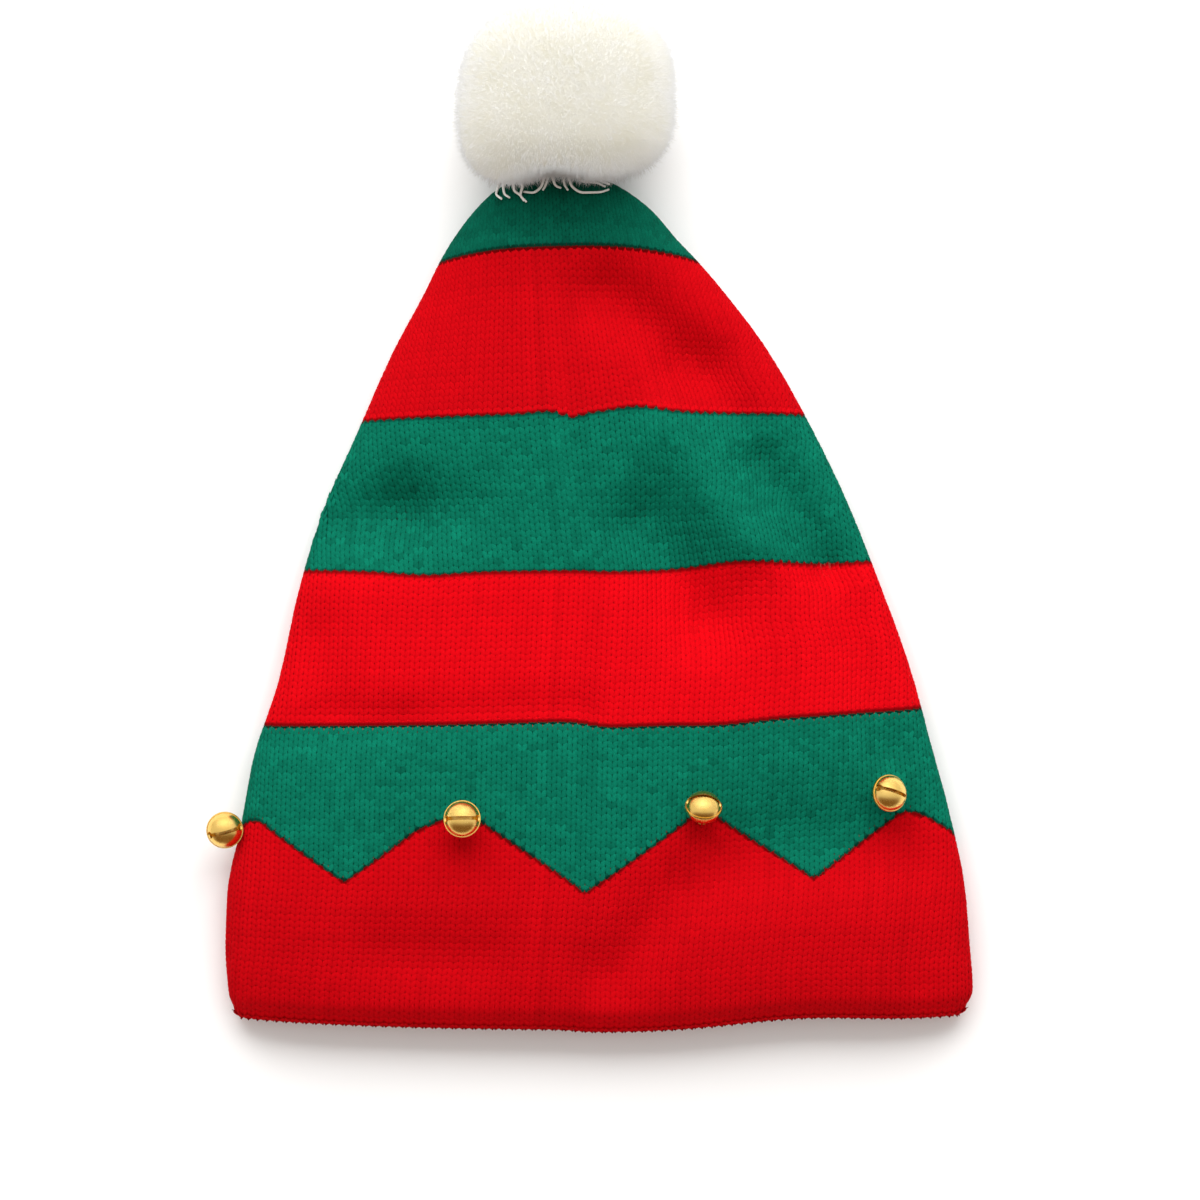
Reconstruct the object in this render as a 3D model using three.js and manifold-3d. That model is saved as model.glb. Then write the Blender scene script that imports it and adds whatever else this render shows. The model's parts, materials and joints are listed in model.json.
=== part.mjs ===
// A knitted christmas beanie with a pompom and four small jingle bells, lying on its back.
// Millimetres, +Z up. The hat's length runs along +Y, from the hem at the open end to the tip.
// The origin is on the floor, under the middle of the whole object's box.

import * as THREE from 'three';
import { mergeVertices } from 'three/addons/utils/BufferGeometryUtils.js';
import Module from 'manifold-3d';

const wasm = await Module();
wasm.setup();

// Driving dimensions
const WALL = 3;
const GAP = 0.9;
const FOLD_SHARE = 0.36;
const TIP = { x: -14.5, y: 289.5, z: 5 };
const INNER_TIP = { x: -13.5, y: 281, z: 7 };
const LAST_INNER_Y = 276;
const TIP_ROOM_Y = 258;

const POMPOM = { x: -11.5, y: 312, z: 27, halfX: 36.2, halfY: 29.5, halfZ: 27.5, roundness: 2.6 };

const BELL = {
  radius: 5.9,
  halfHeight: 5,
  wall: 0.5,
  bandRadius: 6.2,
  bandHeight: 1.1,
  slitWidth: 1.2,
  slitTop: -2.1,
  holeRadius: 1.2,
  loopRadius: 1.4,
  wireRadius: 0.4,
  loopDepth: 0.6,
};

// Faceting
const TOP_STEPS = 28;
const ROLL_STEPS = 4;
const UNDER_STEPS = 8;
const WIDEST_STEP = 14;
const EDGE_ANGLES = [45, 90, 135];
const BELL_SIDES = 16;
const BELL_ARC_STEPS = 4;
const WIRE_SIDES = 6;
const LOOP_STEPS = 8;
const POMPOM_SIDES = 24;
const POMPOM_ROWS = 16;
const HOLE_SIDES = 12;
const SAME_POINT = 1e-4;
const SETTLING_STEPS = 6;

// One row for each section across the hat, from the hem to the tip.
// sideY: where the section meets the side folds. rise: how much nearer the tip its middle is.
// left, right: the side folds. height: top of the front over the floor.
// square: how flat the front stays before it turns down into the folds.
const SECTIONS = [
  { sideY: 5, rise: -4.2, left: -123.3, right: 123.2, height: 16, square: 10 },
  { sideY: 12, rise: -4.4, left: -125.4, right: 125.9, height: 21, square: 9 },
  { sideY: 26, rise: -4.2, left: -126.4, right: 124.9, height: 24, square: 9 },
  { sideY: 46, rise: -3.5, left: -125.8, right: 123, height: 26, square: 9 },
  { sideY: 70, rise: -3, left: -121.1, right: 117.9, height: 26, square: 8 },
  { sideY: 93, rise: -2, left: -117, right: 111.6, height: 25, square: 7 },
  { sideY: 120, rise: -2, left: -108.3, right: 104.2, height: 24, square: 6 },
  { sideY: 147, rise: -2, left: -102.2, right: 94.7, height: 23, square: 6 },
  { sideY: 174, rise: -1, left: -94, right: 84.2, height: 22, square: 5 },
  { sideY: 201, rise: 1, left: -82.2, right: 71.4, height: 21, square: 5 },
  { sideY: 228, rise: 3, left: -70.1, right: 56.3, height: 20, square: 5 },
  { sideY: 248, rise: 4.5, left: -59.3, right: 41.5, height: 19, square: 5 },
  { sideY: 258, rise: 5.5, left: -54.3, right: 33, height: 19, square: 5 },
  { sideY: 265, rise: 5.5, left: -50.2, right: 26.4, height: 18, square: 4 },
  { sideY: 275, rise: 5, left: -42.8, right: 17.8, height: 16.5, square: 4 },
  { sideY: 282, rise: 4, left: -35.6, right: 8.9, height: 14, square: 4 },
  { sideY: 286, rise: 2, left: -28.8, right: 1.4, height: 11, square: 3 },
];

// One row for each soft dent (negative lift) or ridge in the front, along a straight run.
const FOLDS = [
  { name: 'upper right dent', fromX: 2, fromY: 246, toX: 36, toY: 223, width: 11, lift: -6.5 },
  { name: 'second upper right dent', fromX: 28, fromY: 221, toX: 46, toY: 207, width: 9, lift: -4 },
  { name: 'middle ridge', fromX: 24, fromY: 199, toX: 50, toY: 160, width: 10, lift: 5.5 },
  { name: 'right side dent', fromX: 55, fromY: 189, toX: 76, toY: 156, width: 9, lift: -7 },
  { name: 'middle dent', fromX: 14, fromY: 169, toX: 34, toY: 138, width: 12, lift: -8 },
  { name: 'left upper dent', fromX: -88, fromY: 173, toX: -68, toY: 174, width: 13, lift: -9 },
  { name: 'left inner dent', fromX: -66, fromY: 175, toX: -46, toY: 174, width: 11, lift: -3.5 },
  { name: 'left middle dent', fromX: -96, fromY: 132, toX: -90, toY: 112, width: 11, lift: -4 },
  { name: 'left crease', fromX: -112, fromY: 103, toX: -68, toY: 104, width: 8, lift: -3.5 },
  { name: 'middle crease', fromX: -58, fromY: 105, toX: -6, toY: 106, width: 8, lift: -2 },
  { name: 'right lower dent', fromX: 78, fromY: 150, toX: 96, toY: 92, width: 9, lift: -5 },
  { name: 'dent between the right bells', fromX: 50, fromY: 59, toX: 98, toY: 64, width: 18, lift: -7 },
  { name: 'cuff middle dent', fromX: 26, fromY: 46, toX: 4, toY: 20, width: 11, lift: -4 },
  { name: 'cuff left dent', fromX: -70, fromY: 26, toX: -42, toY: 24, width: 13, lift: -3 },
  { name: 'cuff right dent', fromX: 108, fromY: 50, toX: 109, toY: 16, width: 10, lift: -2.5 },
  { name: 'seam below the tip', fromX: -12, fromY: 250, toX: -2, toY: 150, width: 6, lift: -0.5 },
  { name: 'seam above the hem', fromX: -2, fromY: 150, toX: -9, toY: 8, width: 6, lift: -0.5 },
];

// One row for each bell: its middle, the way its slit faces and the way the slit runs.
// overCloth is how high the middle is above the cloth under it, overFloor above the floor.
const BELLS = [
  { name: 'bell_1', x: -125.6, y: 66.9, overFloor: 17, mouth: [0.15, -0.1, 0.98], slit: [1, 0.25, 0] },
  { name: 'bell_2', x: -45.4, y: 71.8, overCloth: 8.4, mouth: [0, 0.13, 0.99], slit: [1, 0.02, 0] },
  { name: 'bell_3', x: 34.2, y: 75.4, overCloth: 6.4, mouth: [0.05, 0.8, 0.6], slit: [1, 0, 0.1] },
  { name: 'bell_4', x: 95.9, y: 79.9, overCloth: 7.9, mouth: [0.38, 0.15, 0.91], slit: [1, -0.27, 0] },
];

const COLUMNS = ['rise', 'left', 'right', 'height', 'square'];

function slopeBetween(a, b, column) {
  return (b[column] - a[column]) / (b.sideY - a.sideY);
}

// Slope of a column at a row, limited so that the curve never overshoots its rows.
function slopeAt(index, column) {
  if (index === 0) {
    return slopeBetween(SECTIONS[0], SECTIONS[1], column);
  }
  const last = SECTIONS.length - 1;
  if (index === last) {
    return slopeBetween(SECTIONS[last - 1], SECTIONS[last], column);
  }
  const before = slopeBetween(SECTIONS[index - 1], SECTIONS[index], column);
  const after = slopeBetween(SECTIONS[index], SECTIONS[index + 1], column);
  return before * after <= 0 ? 0 : (2 * before * after) / (before + after);
}

// The section at any sideY, on a smooth curve through the rows.
function sectionAt(sideY) {
  const last = SECTIONS.length - 2;
  const index = Math.min(last, SECTIONS.findLastIndex((row) => row.sideY <= sideY));
  const [a, b] = [SECTIONS[index], SECTIONS[index + 1]];
  const span = b.sideY - a.sideY;
  const t = (sideY - a.sideY) / span;
  const section = { sideY };
  for (const column of COLUMNS) {
    const keep = (1 + 2 * t) * (1 - t) ** 2;
    const leave = t * (1 - t) ** 2 * span * slopeAt(index, column);
    const arrive = t * t * (t - 1) * span * slopeAt(index + 1, column);
    section[column] = keep * a[column] + (1 - keep) * b[column] + leave + arrive;
  }
  return section;
}

// Depth of all dents and ridges at a point of the front.
function foldLift(x, y) {
  let lift = 0;
  for (const fold of FOLDS) {
    const [runX, runY] = [fold.toX - fold.fromX, fold.toY - fold.fromY];
    const along = ((x - fold.fromX) * runX + (y - fold.fromY) * runY) / (runX ** 2 + runY ** 2);
    const near = THREE.MathUtils.clamp(along, 0, 1);
    const off = Math.hypot(x - fold.fromX - near * runX, y - fold.fromY - near * runY);
    lift += fold.lift * Math.exp(-((off / fold.width) ** 2));
  }
  return lift;
}

// A point of the front wall. across runs from -1 at the left fold to 1 at the right one.
function frontPoint(section, across, inset) {
  const half = (section.right - section.left) / 2 - inset;
  const x = (section.left + section.right) / 2 + across * half;
  const y = section.sideY + section.rise * (1 - across ** 2);
  const foldZ = FOLD_SHARE * section.height;
  const flat = Math.sqrt(Math.max(0, 1 - Math.abs(across) ** section.square));
  const z = foldZ + (section.height - inset - foldZ) * flat + foldLift(x, y) * flat;
  return new THREE.Vector3(x, y, z);
}

// A point of the back wall, flat on the floor between its two rounded sides.
function backPoint(section, across, inset) {
  const half = (section.right - section.left) / 2 - inset;
  const x = (section.left + section.right) / 2 + across * half;
  const y = section.sideY + section.rise * (1 - across ** 2);
  const roll = FOLD_SHARE * section.height - inset;
  const turn = Math.max(0, (Math.abs(across) * half - (half - roll)) / roll);
  const z = inset + roll * (1 - Math.sqrt(Math.max(0, 1 - turn ** 2)));
  return new THREE.Vector3(x, y, z);
}

// The closed outline of a section: over the front from left to right, back along the floor.
function ring(section, inset) {
  const points = [];
  for (let i = 0; i <= TOP_STEPS; i++) {
    const even = (2 * i) / TOP_STEPS - 1;
    const crowded = -Math.cos((Math.PI * i) / TOP_STEPS);
    points.push(frontPoint(section, (even + 2 * crowded) / 3, inset));
  }
  const half = (section.right - section.left) / 2 - inset;
  const roll = FOLD_SHARE * section.height - inset;
  const flatEnd = 1 - roll / half;
  const rollAcross = (i) => flatEnd + (roll / half) * Math.cos((i * Math.PI) / (2 * ROLL_STEPS));
  for (let i = 1; i < ROLL_STEPS; i++) {
    points.push(backPoint(section, rollAcross(i), inset));
  }
  for (let i = 0; i <= UNDER_STEPS; i++) {
    points.push(backPoint(section, flatEnd * (1 - (2 * i) / UNDER_STEPS), inset));
  }
  for (let i = ROLL_STEPS - 1; i > 0; i--) {
    points.push(backPoint(section, -rollAcross(i), inset));
  }
  return points;
}

// Stations along the hat: every row of the table, with steps between rows that are far apart.
function stations() {
  const list = [];
  SECTIONS.forEach((row, i) => {
    list.push(row.sideY);
    const next = SECTIONS[i + 1];
    const steps = next ? Math.ceil((next.sideY - row.sideY) / WIDEST_STEP) : 1;
    for (let k = 1; k < steps; k++) {
      list.push(row.sideY + ((next.sideY - row.sideY) * k) / steps);
    }
  });
  return list;
}

// A closed skin over rings of equal length, with a point closing each end.
function skin(startPoint, rings, endPoint) {
  const count = rings[0].length;
  const positions = [startPoint, ...rings.flat(), endPoint].flatMap((p) => [p.x, p.y, p.z]);
  const index = [];
  const at = (r, i) => 1 + r * count + (i % count);
  const end = 1 + rings.length * count;
  for (let i = 0; i < count; i++) {
    index.push(0, at(0, i), at(0, i + 1));
    index.push(end, at(rings.length - 1, i + 1), at(rings.length - 1, i));
    for (let r = 0; r + 1 < rings.length; r++) {
      index.push(at(r, i), at(r + 1, i + 1), at(r, i + 1));
      index.push(at(r, i), at(r + 1, i), at(r + 1, i + 1));
    }
  }
  const geometry = new THREE.BufferGeometry();
  geometry.setAttribute('position', new THREE.Float32BufferAttribute(positions, 3));
  geometry.setIndex(index);
  return geometry;
}

// The knitted bag: outside from tip to hem, round the hem's edge, inside back to the tip.
function crownGeometry() {
  const outside = stations().reverse();
  const inside = stations().filter((y) => y <= LAST_INNER_Y);
  const hem = sectionAt(SECTIONS[0].sideY);
  const edge = EDGE_ANGLES.map((degrees) => {
    const angle = THREE.MathUtils.degToRad(degrees);
    const inset = (WALL / 2) * (1 - Math.cos(angle));
    return ring(hem, inset).map((p) => p.setY(p.y - (WALL / 2) * Math.sin(angle)));
  });
  const rings = [
    ...outside.map((y) => ring(sectionAt(y), 0)),
    ...edge,
    ...inside.map((y) => ring(sectionAt(y), WALL)),
  ];
  return skin(TIP, rings, INNER_TIP);
}

// A closed geometry as a solid that can be joined and cut.
function solid(geometry) {
  const bare = geometry.clone();
  bare.deleteAttribute('normal');
  bare.deleteAttribute('uv');
  const merged = mergeVertices(bare, SAME_POINT);
  const corners = merged.index.array;
  const triVerts = [];
  for (let i = 0; i < corners.length; i += 3) {
    const [a, b, c] = corners.slice(i, i + 3);
    if (a !== b && b !== c && c !== a) {
      triVerts.push(a, b, c);
    }
  }
  return new wasm.Manifold(
    new wasm.Mesh({
      numProp: 3,
      vertProperties: merged.attributes.position.array,
      triVerts: new Uint32Array(triVerts),
    }),
  );
}

function geometryOf(shape) {
  const mesh = shape.getMesh();
  const geometry = new THREE.BufferGeometry();
  geometry.setAttribute('position', new THREE.BufferAttribute(mesh.vertProperties, 3));
  geometry.setIndex(new THREE.BufferAttribute(mesh.triVerts, 1));
  return geometry;
}

// The tip of the hat, a gap larger all round: the room that the pompom leaves for it.
function tipRoom() {
  const rings = stations()
    .filter((y) => y >= TIP_ROOM_Y)
    .reverse()
    .map((y) => ring(sectionAt(y), -GAP));
  const grownTip = { x: TIP.x, y: TIP.y + 2 * GAP, z: TIP.z };
  const inHat = { x: TIP.x, y: TIP_ROOM_Y, z: TIP.z };
  return solid(skin(grownTip, rings, inHat));
}

// A ball of cut yarn, a little square, pressed flat where it lies on the floor.
function pompomGeometry() {
  const ball = new THREE.SphereGeometry(1, POMPOM_SIDES, POMPOM_ROWS);
  const position = ball.attributes.position;
  const { halfX, halfY, halfZ, roundness } = POMPOM;
  const way = new THREE.Vector3();
  for (let i = 0; i < position.count; i++) {
    way.fromBufferAttribute(position, i);
    const reach =
      Math.abs(way.x / halfX) ** roundness +
      Math.abs(way.y / halfY) ** roundness +
      Math.abs(way.z / halfZ) ** roundness;
    way.multiplyScalar(reach ** (-1 / roundness));
    way.z = Math.max(way.z, -POMPOM.z);
    position.setXYZ(i, way.x + POMPOM.x, way.y + POMPOM.y, way.z + POMPOM.z);
  }
  return geometryOf(solid(ball).subtract(tipRoom()));
}

// Half an outline of a bell's dome, from the pole down to the given height.
function domeArc(radius, halfHeight, lowest) {
  const lowAngle = Math.asin(lowest / halfHeight);
  const points = [];
  for (let i = 0; i <= BELL_ARC_STEPS; i++) {
    const angle = Math.PI / 2 + ((lowAngle - Math.PI / 2) * i) / BELL_ARC_STEPS;
    const across = i === 0 ? 0 : radius * Math.cos(angle);
    points.push(new THREE.Vector2(across, halfHeight * Math.sin(angle)));
  }
  return points;
}

// Turns an outline and its mirror image below round the bell's axis, which is Z.
function turned(upperHalf) {
  const lowerHalf = upperHalf.map((p) => new THREE.Vector2(p.x, -p.y));
  const outline = [...lowerHalf, ...upperHalf.toReversed()];
  return new THREE.LatheGeometry(outline, BELL_SIDES).rotateX(Math.PI / 2);
}

// A jingle bell: two pressed domes closed on a raised band, a slit with a round hole
// at each end, and a wire loop soldered to the top. The slit runs along X and faces -Z.
function bellGeometry() {
  const halfBand = BELL.bandHeight / 2;
  const dome = domeArc(BELL.radius, BELL.halfHeight, halfBand);
  const band = new THREE.Vector2(BELL.bandRadius, halfBand);
  const inner = domeArc(BELL.radius - BELL.wall, BELL.halfHeight - BELL.wall, halfBand);
  const slitDepth = 2 * BELL.halfHeight;
  const slit = new THREE.BoxGeometry(2 * BELL.bandRadius, BELL.slitWidth, slitDepth);
  slit.translate(0, 0, BELL.slitTop - slitDepth / 2);
  const holeLength = 4 * BELL.radius;
  const hole = new THREE.CylinderGeometry(BELL.holeRadius, BELL.holeRadius, holeLength, HOLE_SIDES);
  hole.rotateZ(Math.PI / 2).translate(0, 0, BELL.slitTop);
  const foot = BELL.halfHeight - BELL.loopDepth;
  const arch = new THREE.CatmullRomCurve3([
    new THREE.Vector3(-BELL.loopRadius, 0, foot),
    new THREE.Vector3(-BELL.loopRadius, 0, foot + BELL.loopRadius),
    new THREE.Vector3(0, 0, foot + 2 * BELL.loopRadius),
    new THREE.Vector3(BELL.loopRadius, 0, foot + BELL.loopRadius),
    new THREE.Vector3(BELL.loopRadius, 0, foot),
  ]);
  const wire = new THREE.Shape();
  wire.absarc(0, 0, BELL.wireRadius, 0, 2 * Math.PI);
  const loop = new THREE.ExtrudeGeometry(wire, {
    steps: LOOP_STEPS,
    curveSegments: WIRE_SIDES / 2,
    extrudePath: arch,
  });
  const shell = solid(turned([...dome, band])).subtract(solid(turned(inner)));
  return geometryOf(shell.add(solid(loop)).subtract(solid(slit)).subtract(solid(hole)));
}

// The height of the front at a place, found by settling on the section that passes there.
function frontHeight(x, y) {
  let sideY = y;
  let across = 0;
  for (let i = 0; i < SETTLING_STEPS; i++) {
    const section = sectionAt(sideY);
    across = (2 * x - section.left - section.right) / (section.right - section.left);
    sideY = y - section.rise * (1 - across ** 2);
  }
  return frontPoint(sectionAt(sideY), across, 0).z;
}

function placeBell(mesh, row) {
  const axis = new THREE.Vector3(...row.mouth).normalize().negate();
  const along = new THREE.Vector3(...row.slit).projectOnPlane(axis).normalize();
  const side = new THREE.Vector3().crossVectors(axis, along);
  mesh.quaternion.setFromRotationMatrix(new THREE.Matrix4().makeBasis(along, side, axis));
  const z = row.overFloor ?? frontHeight(row.x, row.y) + row.overCloth;
  mesh.position.set(row.x, row.y, z);
}

function named(name, geometry, color, roughness, metalness) {
  const mesh = new THREE.Mesh(
    geometry,
    new THREE.MeshStandardMaterial({ color, roughness, metalness }),
  );
  mesh.name = name;
  return mesh;
}

const hat = new THREE.Group();
hat.add(named('knit_crown', crownGeometry(), 0xc8101c, 0.9, 0));
hat.add(named('pompom', pompomGeometry(), 0xf3f0e6, 0.95, 0));
for (const row of BELLS) {
  const bell = named(row.name, bellGeometry(), 0xd9a93a, 0.22, 1);
  placeBell(bell, row);
  hat.add(bell);
}

// The middle of the object's box, at floor level, becomes the origin.
const box = new THREE.Box3().setFromObject(hat, true);
const middle = box.getCenter(new THREE.Vector3());
hat.position.set(-middle.x, -middle.y, -box.min.z);

const beanie = new THREE.Group();
beanie.add(hat);
beanie.updateMatrixWorld(true);

export default beanie;
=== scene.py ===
# %% [markdown]
# # A knitted christmas beanie, lying flat
# The hat is a bag of fine stocking stitch in red and green stripes, with a zigzag above its red cuff,
# four small brass bells and a pompom of cut white yarn. Its solids come from the CAD model and only
# give the size and the place of everything. This lesson makes what the eye sees: every stitch, every
# strand of the pompom and the polished bells.

# %% The frame
import json
import math

import bmesh
import bpy
import numpy as np
from mathutils import Matrix, Vector

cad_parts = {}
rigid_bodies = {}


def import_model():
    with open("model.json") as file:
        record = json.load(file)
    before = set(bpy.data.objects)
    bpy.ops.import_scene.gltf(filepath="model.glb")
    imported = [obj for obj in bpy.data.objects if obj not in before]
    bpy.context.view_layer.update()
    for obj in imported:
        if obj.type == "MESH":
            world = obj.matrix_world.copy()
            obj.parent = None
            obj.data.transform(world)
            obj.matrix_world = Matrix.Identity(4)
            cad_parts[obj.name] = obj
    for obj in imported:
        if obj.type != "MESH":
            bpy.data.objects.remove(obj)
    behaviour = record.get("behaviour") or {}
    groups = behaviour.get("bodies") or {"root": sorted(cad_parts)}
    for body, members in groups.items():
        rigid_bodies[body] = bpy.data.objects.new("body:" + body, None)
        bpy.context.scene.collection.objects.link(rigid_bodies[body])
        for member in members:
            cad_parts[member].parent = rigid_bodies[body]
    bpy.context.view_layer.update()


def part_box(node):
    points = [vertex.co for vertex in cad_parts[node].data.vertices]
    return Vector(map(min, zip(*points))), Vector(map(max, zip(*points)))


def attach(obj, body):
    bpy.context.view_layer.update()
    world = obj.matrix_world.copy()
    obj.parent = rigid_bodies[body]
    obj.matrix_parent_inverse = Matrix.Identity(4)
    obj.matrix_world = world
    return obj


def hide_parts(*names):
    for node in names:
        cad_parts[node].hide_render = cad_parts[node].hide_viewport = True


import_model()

MM = 0.001

# %% [markdown]
# ## The hat's own measures
# A hatter measures from the hem. Here x is counted from the middle of the picture and y from the hem
# towards the tip, both in millimetres, and z up from the floor. The crown's box in the CAD model says
# where that origin lies in the frame, so one function brings every point across.

# %% Hat measures to frame
CROWN_LEFT = -126.4
HEM_EDGE = -0.7
crown_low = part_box("knit_crown")[0]
HAT_ORIGIN = np.array([crown_low.x / MM - CROWN_LEFT, crown_low.y / MM - HEM_EDGE, 0.0])


def to_frame(points):
    """Points in hat millimetres, as points of the frame in metres."""
    return (np.asarray(points, dtype=float) + HAT_ORIGIN) * MM


print("hat origin in the frame, mm:", HAT_ORIGIN.round(2))

# %% [markdown]
# ## The camera
# The photograph looks straight down at the hat. A long lens a little over a metre above the floor keeps
# the sides of the hat hidden under it, as they are there. The picture is square and shows about 0.4 m
# of floor.

# %% Camera
CAMERA_HEIGHT = 1100.0
FLOOR_SHOWN = 408.0
PICTURE_MIDDLE = (0.0, 143.9)

camera_data = bpy.data.cameras.new("photo_camera")
camera_data.sensor_width = 36.0
camera_data.lens = camera_data.sensor_width * CAMERA_HEIGHT / FLOOR_SHOWN
camera = bpy.data.objects.new("photo_camera", camera_data)
camera.location = Vector(to_frame((*PICTURE_MIDDLE, CAMERA_HEIGHT)))
bpy.context.scene.collection.objects.link(camera)
bpy.context.scene.camera = camera
print("lens in mm:", round(camera_data.lens, 1))

# %% [markdown]
# ## The studio
# The photograph was lit by a wide soft light from beyond the tip, so a pale shadow lies below the hem
# and the pompom shades the floor beside the tip. A large area light stands there, and a white sky fills
# the rest. The side of the room towards the hem is dark and warm, which the bells show, and only a weak
# fill comes from there, which doesn't show in them. The bells show the window through a second light at
# its place, so that their highlights can be set apart from the light on the cloth. The floor is a plain
# white sheet. White yarn passes light on many times, so light may bounce more often than usual.

# %% Lights
KEY_PLACE = (0.0, 1570.0, 1330.0)
KEY_WIDE, KEY_TALL = 2.2, 1.4
KEY_POWER = 53.0
FILL_PLACE = (0.0, -1100.0, 800.0)
FILL_WIDE, FILL_TALL = 2.4, 1.2
FILL_POWER = 6.0
SEEN_POWER = 70.0


def area_light(name, place, wide, tall, power):
    """A rectangular light aimed at the middle of the picture."""
    light = bpy.data.lights.new(name, "AREA")
    light.shape = "RECTANGLE"
    light.size, light.size_y = wide, tall
    light.energy = power
    made = bpy.data.objects.new(name, light)
    made.location = Vector(to_frame(place))
    aim = Vector(to_frame((*PICTURE_MIDDLE, 0.0))) - made.location
    made.rotation_euler = aim.to_track_quat("-Z", "Y").to_euler()
    bpy.context.scene.collection.objects.link(made)
    return made


window_light = area_light("window_light", KEY_PLACE, KEY_WIDE, KEY_TALL, KEY_POWER)
window_light.visible_glossy = False
seen_window = area_light("window_in_metal", KEY_PLACE, KEY_WIDE, KEY_TALL, SEEN_POWER)
seen_window.visible_diffuse = False
fill_light = area_light("fill_light", FILL_PLACE, FILL_WIDE, FILL_TALL, FILL_POWER)
fill_light.visible_glossy = False
print("lights:", window_light.name, seen_window.name, fill_light.name)

# %% Sky
SKY_BRIGHT = (0.83, 0.82, 0.81)
SKY_DIM = (0.20, 0.115, 0.05)
DIM_WAY = (0.0, -0.86, 0.51)
DIM_SIDEWAYS = 0.4
# degrees from the dim way at which the sky starts to dim, and at which it is dimmest
DIM_FROM, DIM_TO = 52.0, 20.0
BOUNCES = 8


def add(tree, kind, **settings):
    """A new node with these settings."""
    made = tree.nodes.new(kind)
    for key_name, value in settings.items():
        setattr(made, key_name, value)
    return made


world = bpy.data.worlds.new("studio_sky")
world.use_nodes = True
sky = world.node_tree
sky_way = add(sky, "ShaderNodeTexCoord")
narrowed = add(sky, "ShaderNodeVectorMath", operation="MULTIPLY")
narrowed.inputs[1].default_value = (DIM_SIDEWAYS, 1.0, 1.0)
evened = add(sky, "ShaderNodeVectorMath", operation="NORMALIZE")
nearness = add(sky, "ShaderNodeVectorMath", operation="DOT_PRODUCT")
nearness.inputs[1].default_value = Vector(DIM_WAY).normalized()
dimmed = add(sky, "ShaderNodeMapRange", interpolation_type="SMOOTHSTEP")
dimmed.inputs["From Min"].default_value = math.cos(math.radians(DIM_FROM))
dimmed.inputs["From Max"].default_value = math.cos(math.radians(DIM_TO))
sky_colour = add(sky, "ShaderNodeMix", data_type="RGBA")
sky_colour.inputs["A"].default_value = (*SKY_BRIGHT, 1.0)
sky_colour.inputs["B"].default_value = (*SKY_DIM, 1.0)
sky.links.new(sky_way.outputs["Generated"], narrowed.inputs[0])
sky.links.new(narrowed.outputs["Vector"], evened.inputs[0])
sky.links.new(evened.outputs["Vector"], nearness.inputs[0])
sky.links.new(nearness.outputs["Value"], dimmed.inputs["Value"])
sky.links.new(dimmed.outputs["Result"], sky_colour.inputs["Factor"])
sky.links.new(sky_colour.outputs["Result"], sky.nodes["Background"].inputs["Color"])
bpy.context.scene.world = world
bpy.context.scene.view_settings.view_transform = "Standard"
bpy.context.scene.cycles.diffuse_bounces = BOUNCES
print("sky nodes:", len(sky.nodes))

# %% Floor
FLOOR_HALF = 4.0
FLOOR_WHITE = 0.84


def new_object(name, mesh):
    """An object at the origin with this mesh, linked to the scene."""
    made = bpy.data.objects.new(name, mesh)
    bpy.context.scene.collection.objects.link(made)
    return made


def shade_smooth(mesh):
    """Shades every face of a mesh as part of a smooth surface."""
    mesh.polygons.foreach_set("use_smooth", np.ones(len(mesh.polygons), dtype=bool))


def new_material(name):
    """A node material, its node tree and its Principled shader."""
    made = bpy.data.materials.new(name)
    made.use_nodes = True
    return made, made.node_tree, made.node_tree.nodes["Principled BSDF"]


floor_mesh = bpy.data.meshes.new("floor")
floor_corners = [(x * FLOOR_HALF, y * FLOOR_HALF, 0.0) for x, y in ((-1, -1), (1, -1), (1, 1), (-1, 1))]
floor_mesh.from_pydata(floor_corners, [], [(0, 1, 2, 3)])
floor = new_object("floor", floor_mesh)
floor_paint, _, floor_shader = new_material("white_paper")
floor_shader.inputs["Base Color"].default_value = (FLOOR_WHITE, FLOOR_WHITE, FLOOR_WHITE, 1.0)
floor_shader.inputs["Roughness"].default_value = 0.8
floor_shader.inputs["Specular IOR Level"].default_value = 0.1
floor_mesh.materials.append(floor_paint)
print("floor in metres:", 2 * FLOOR_HALF, "by", 2 * FLOOR_HALF)

# %% [markdown]
# ## The form of the hat
# The CAD model gives the hat as sections across it: where the two side folds are, how high the front
# lies and how squarely it turns down into the folds. The same table and the same soft dents are used
# here, so the knitting lies exactly where the solid is. The curve through the rows never overshoots.

# %% Sections and folds
WALL = 3.0
FOLD_SHARE = 0.36
TIP = (-14.5, 289.5, 5.0)
INNER_TIP = (-13.5, 281.0, 7.0)
LAST_INNER_Y = 276.0

# side_y, rise, left, right, height, square
SECTIONS = np.array([
    (5, -4.2, -123.3, 123.2, 16, 10),
    (12, -4.4, -125.4, 125.9, 21, 9),
    (26, -4.2, -126.4, 124.9, 24, 9),
    (46, -3.5, -125.8, 123, 26, 9),
    (70, -3, -121.1, 117.9, 26, 8),
    (93, -2, -117, 111.6, 25, 7),
    (120, -2, -108.3, 104.2, 24, 6),
    (147, -2, -102.2, 94.7, 23, 6),
    (174, -1, -94, 84.2, 22, 5),
    (201, 1, -82.2, 71.4, 21, 5),
    (228, 3, -70.1, 56.3, 20, 5),
    (248, 4.5, -59.3, 41.5, 19, 5),
    (258, 5.5, -54.3, 33, 19, 5),
    (265, 5.5, -50.2, 26.4, 18, 4),
    (275, 5, -42.8, 17.8, 16.5, 4),
    (282, 4, -35.6, 8.9, 14, 4),
    (286, 2, -28.8, 1.4, 11, 3),
], dtype=float)

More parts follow.
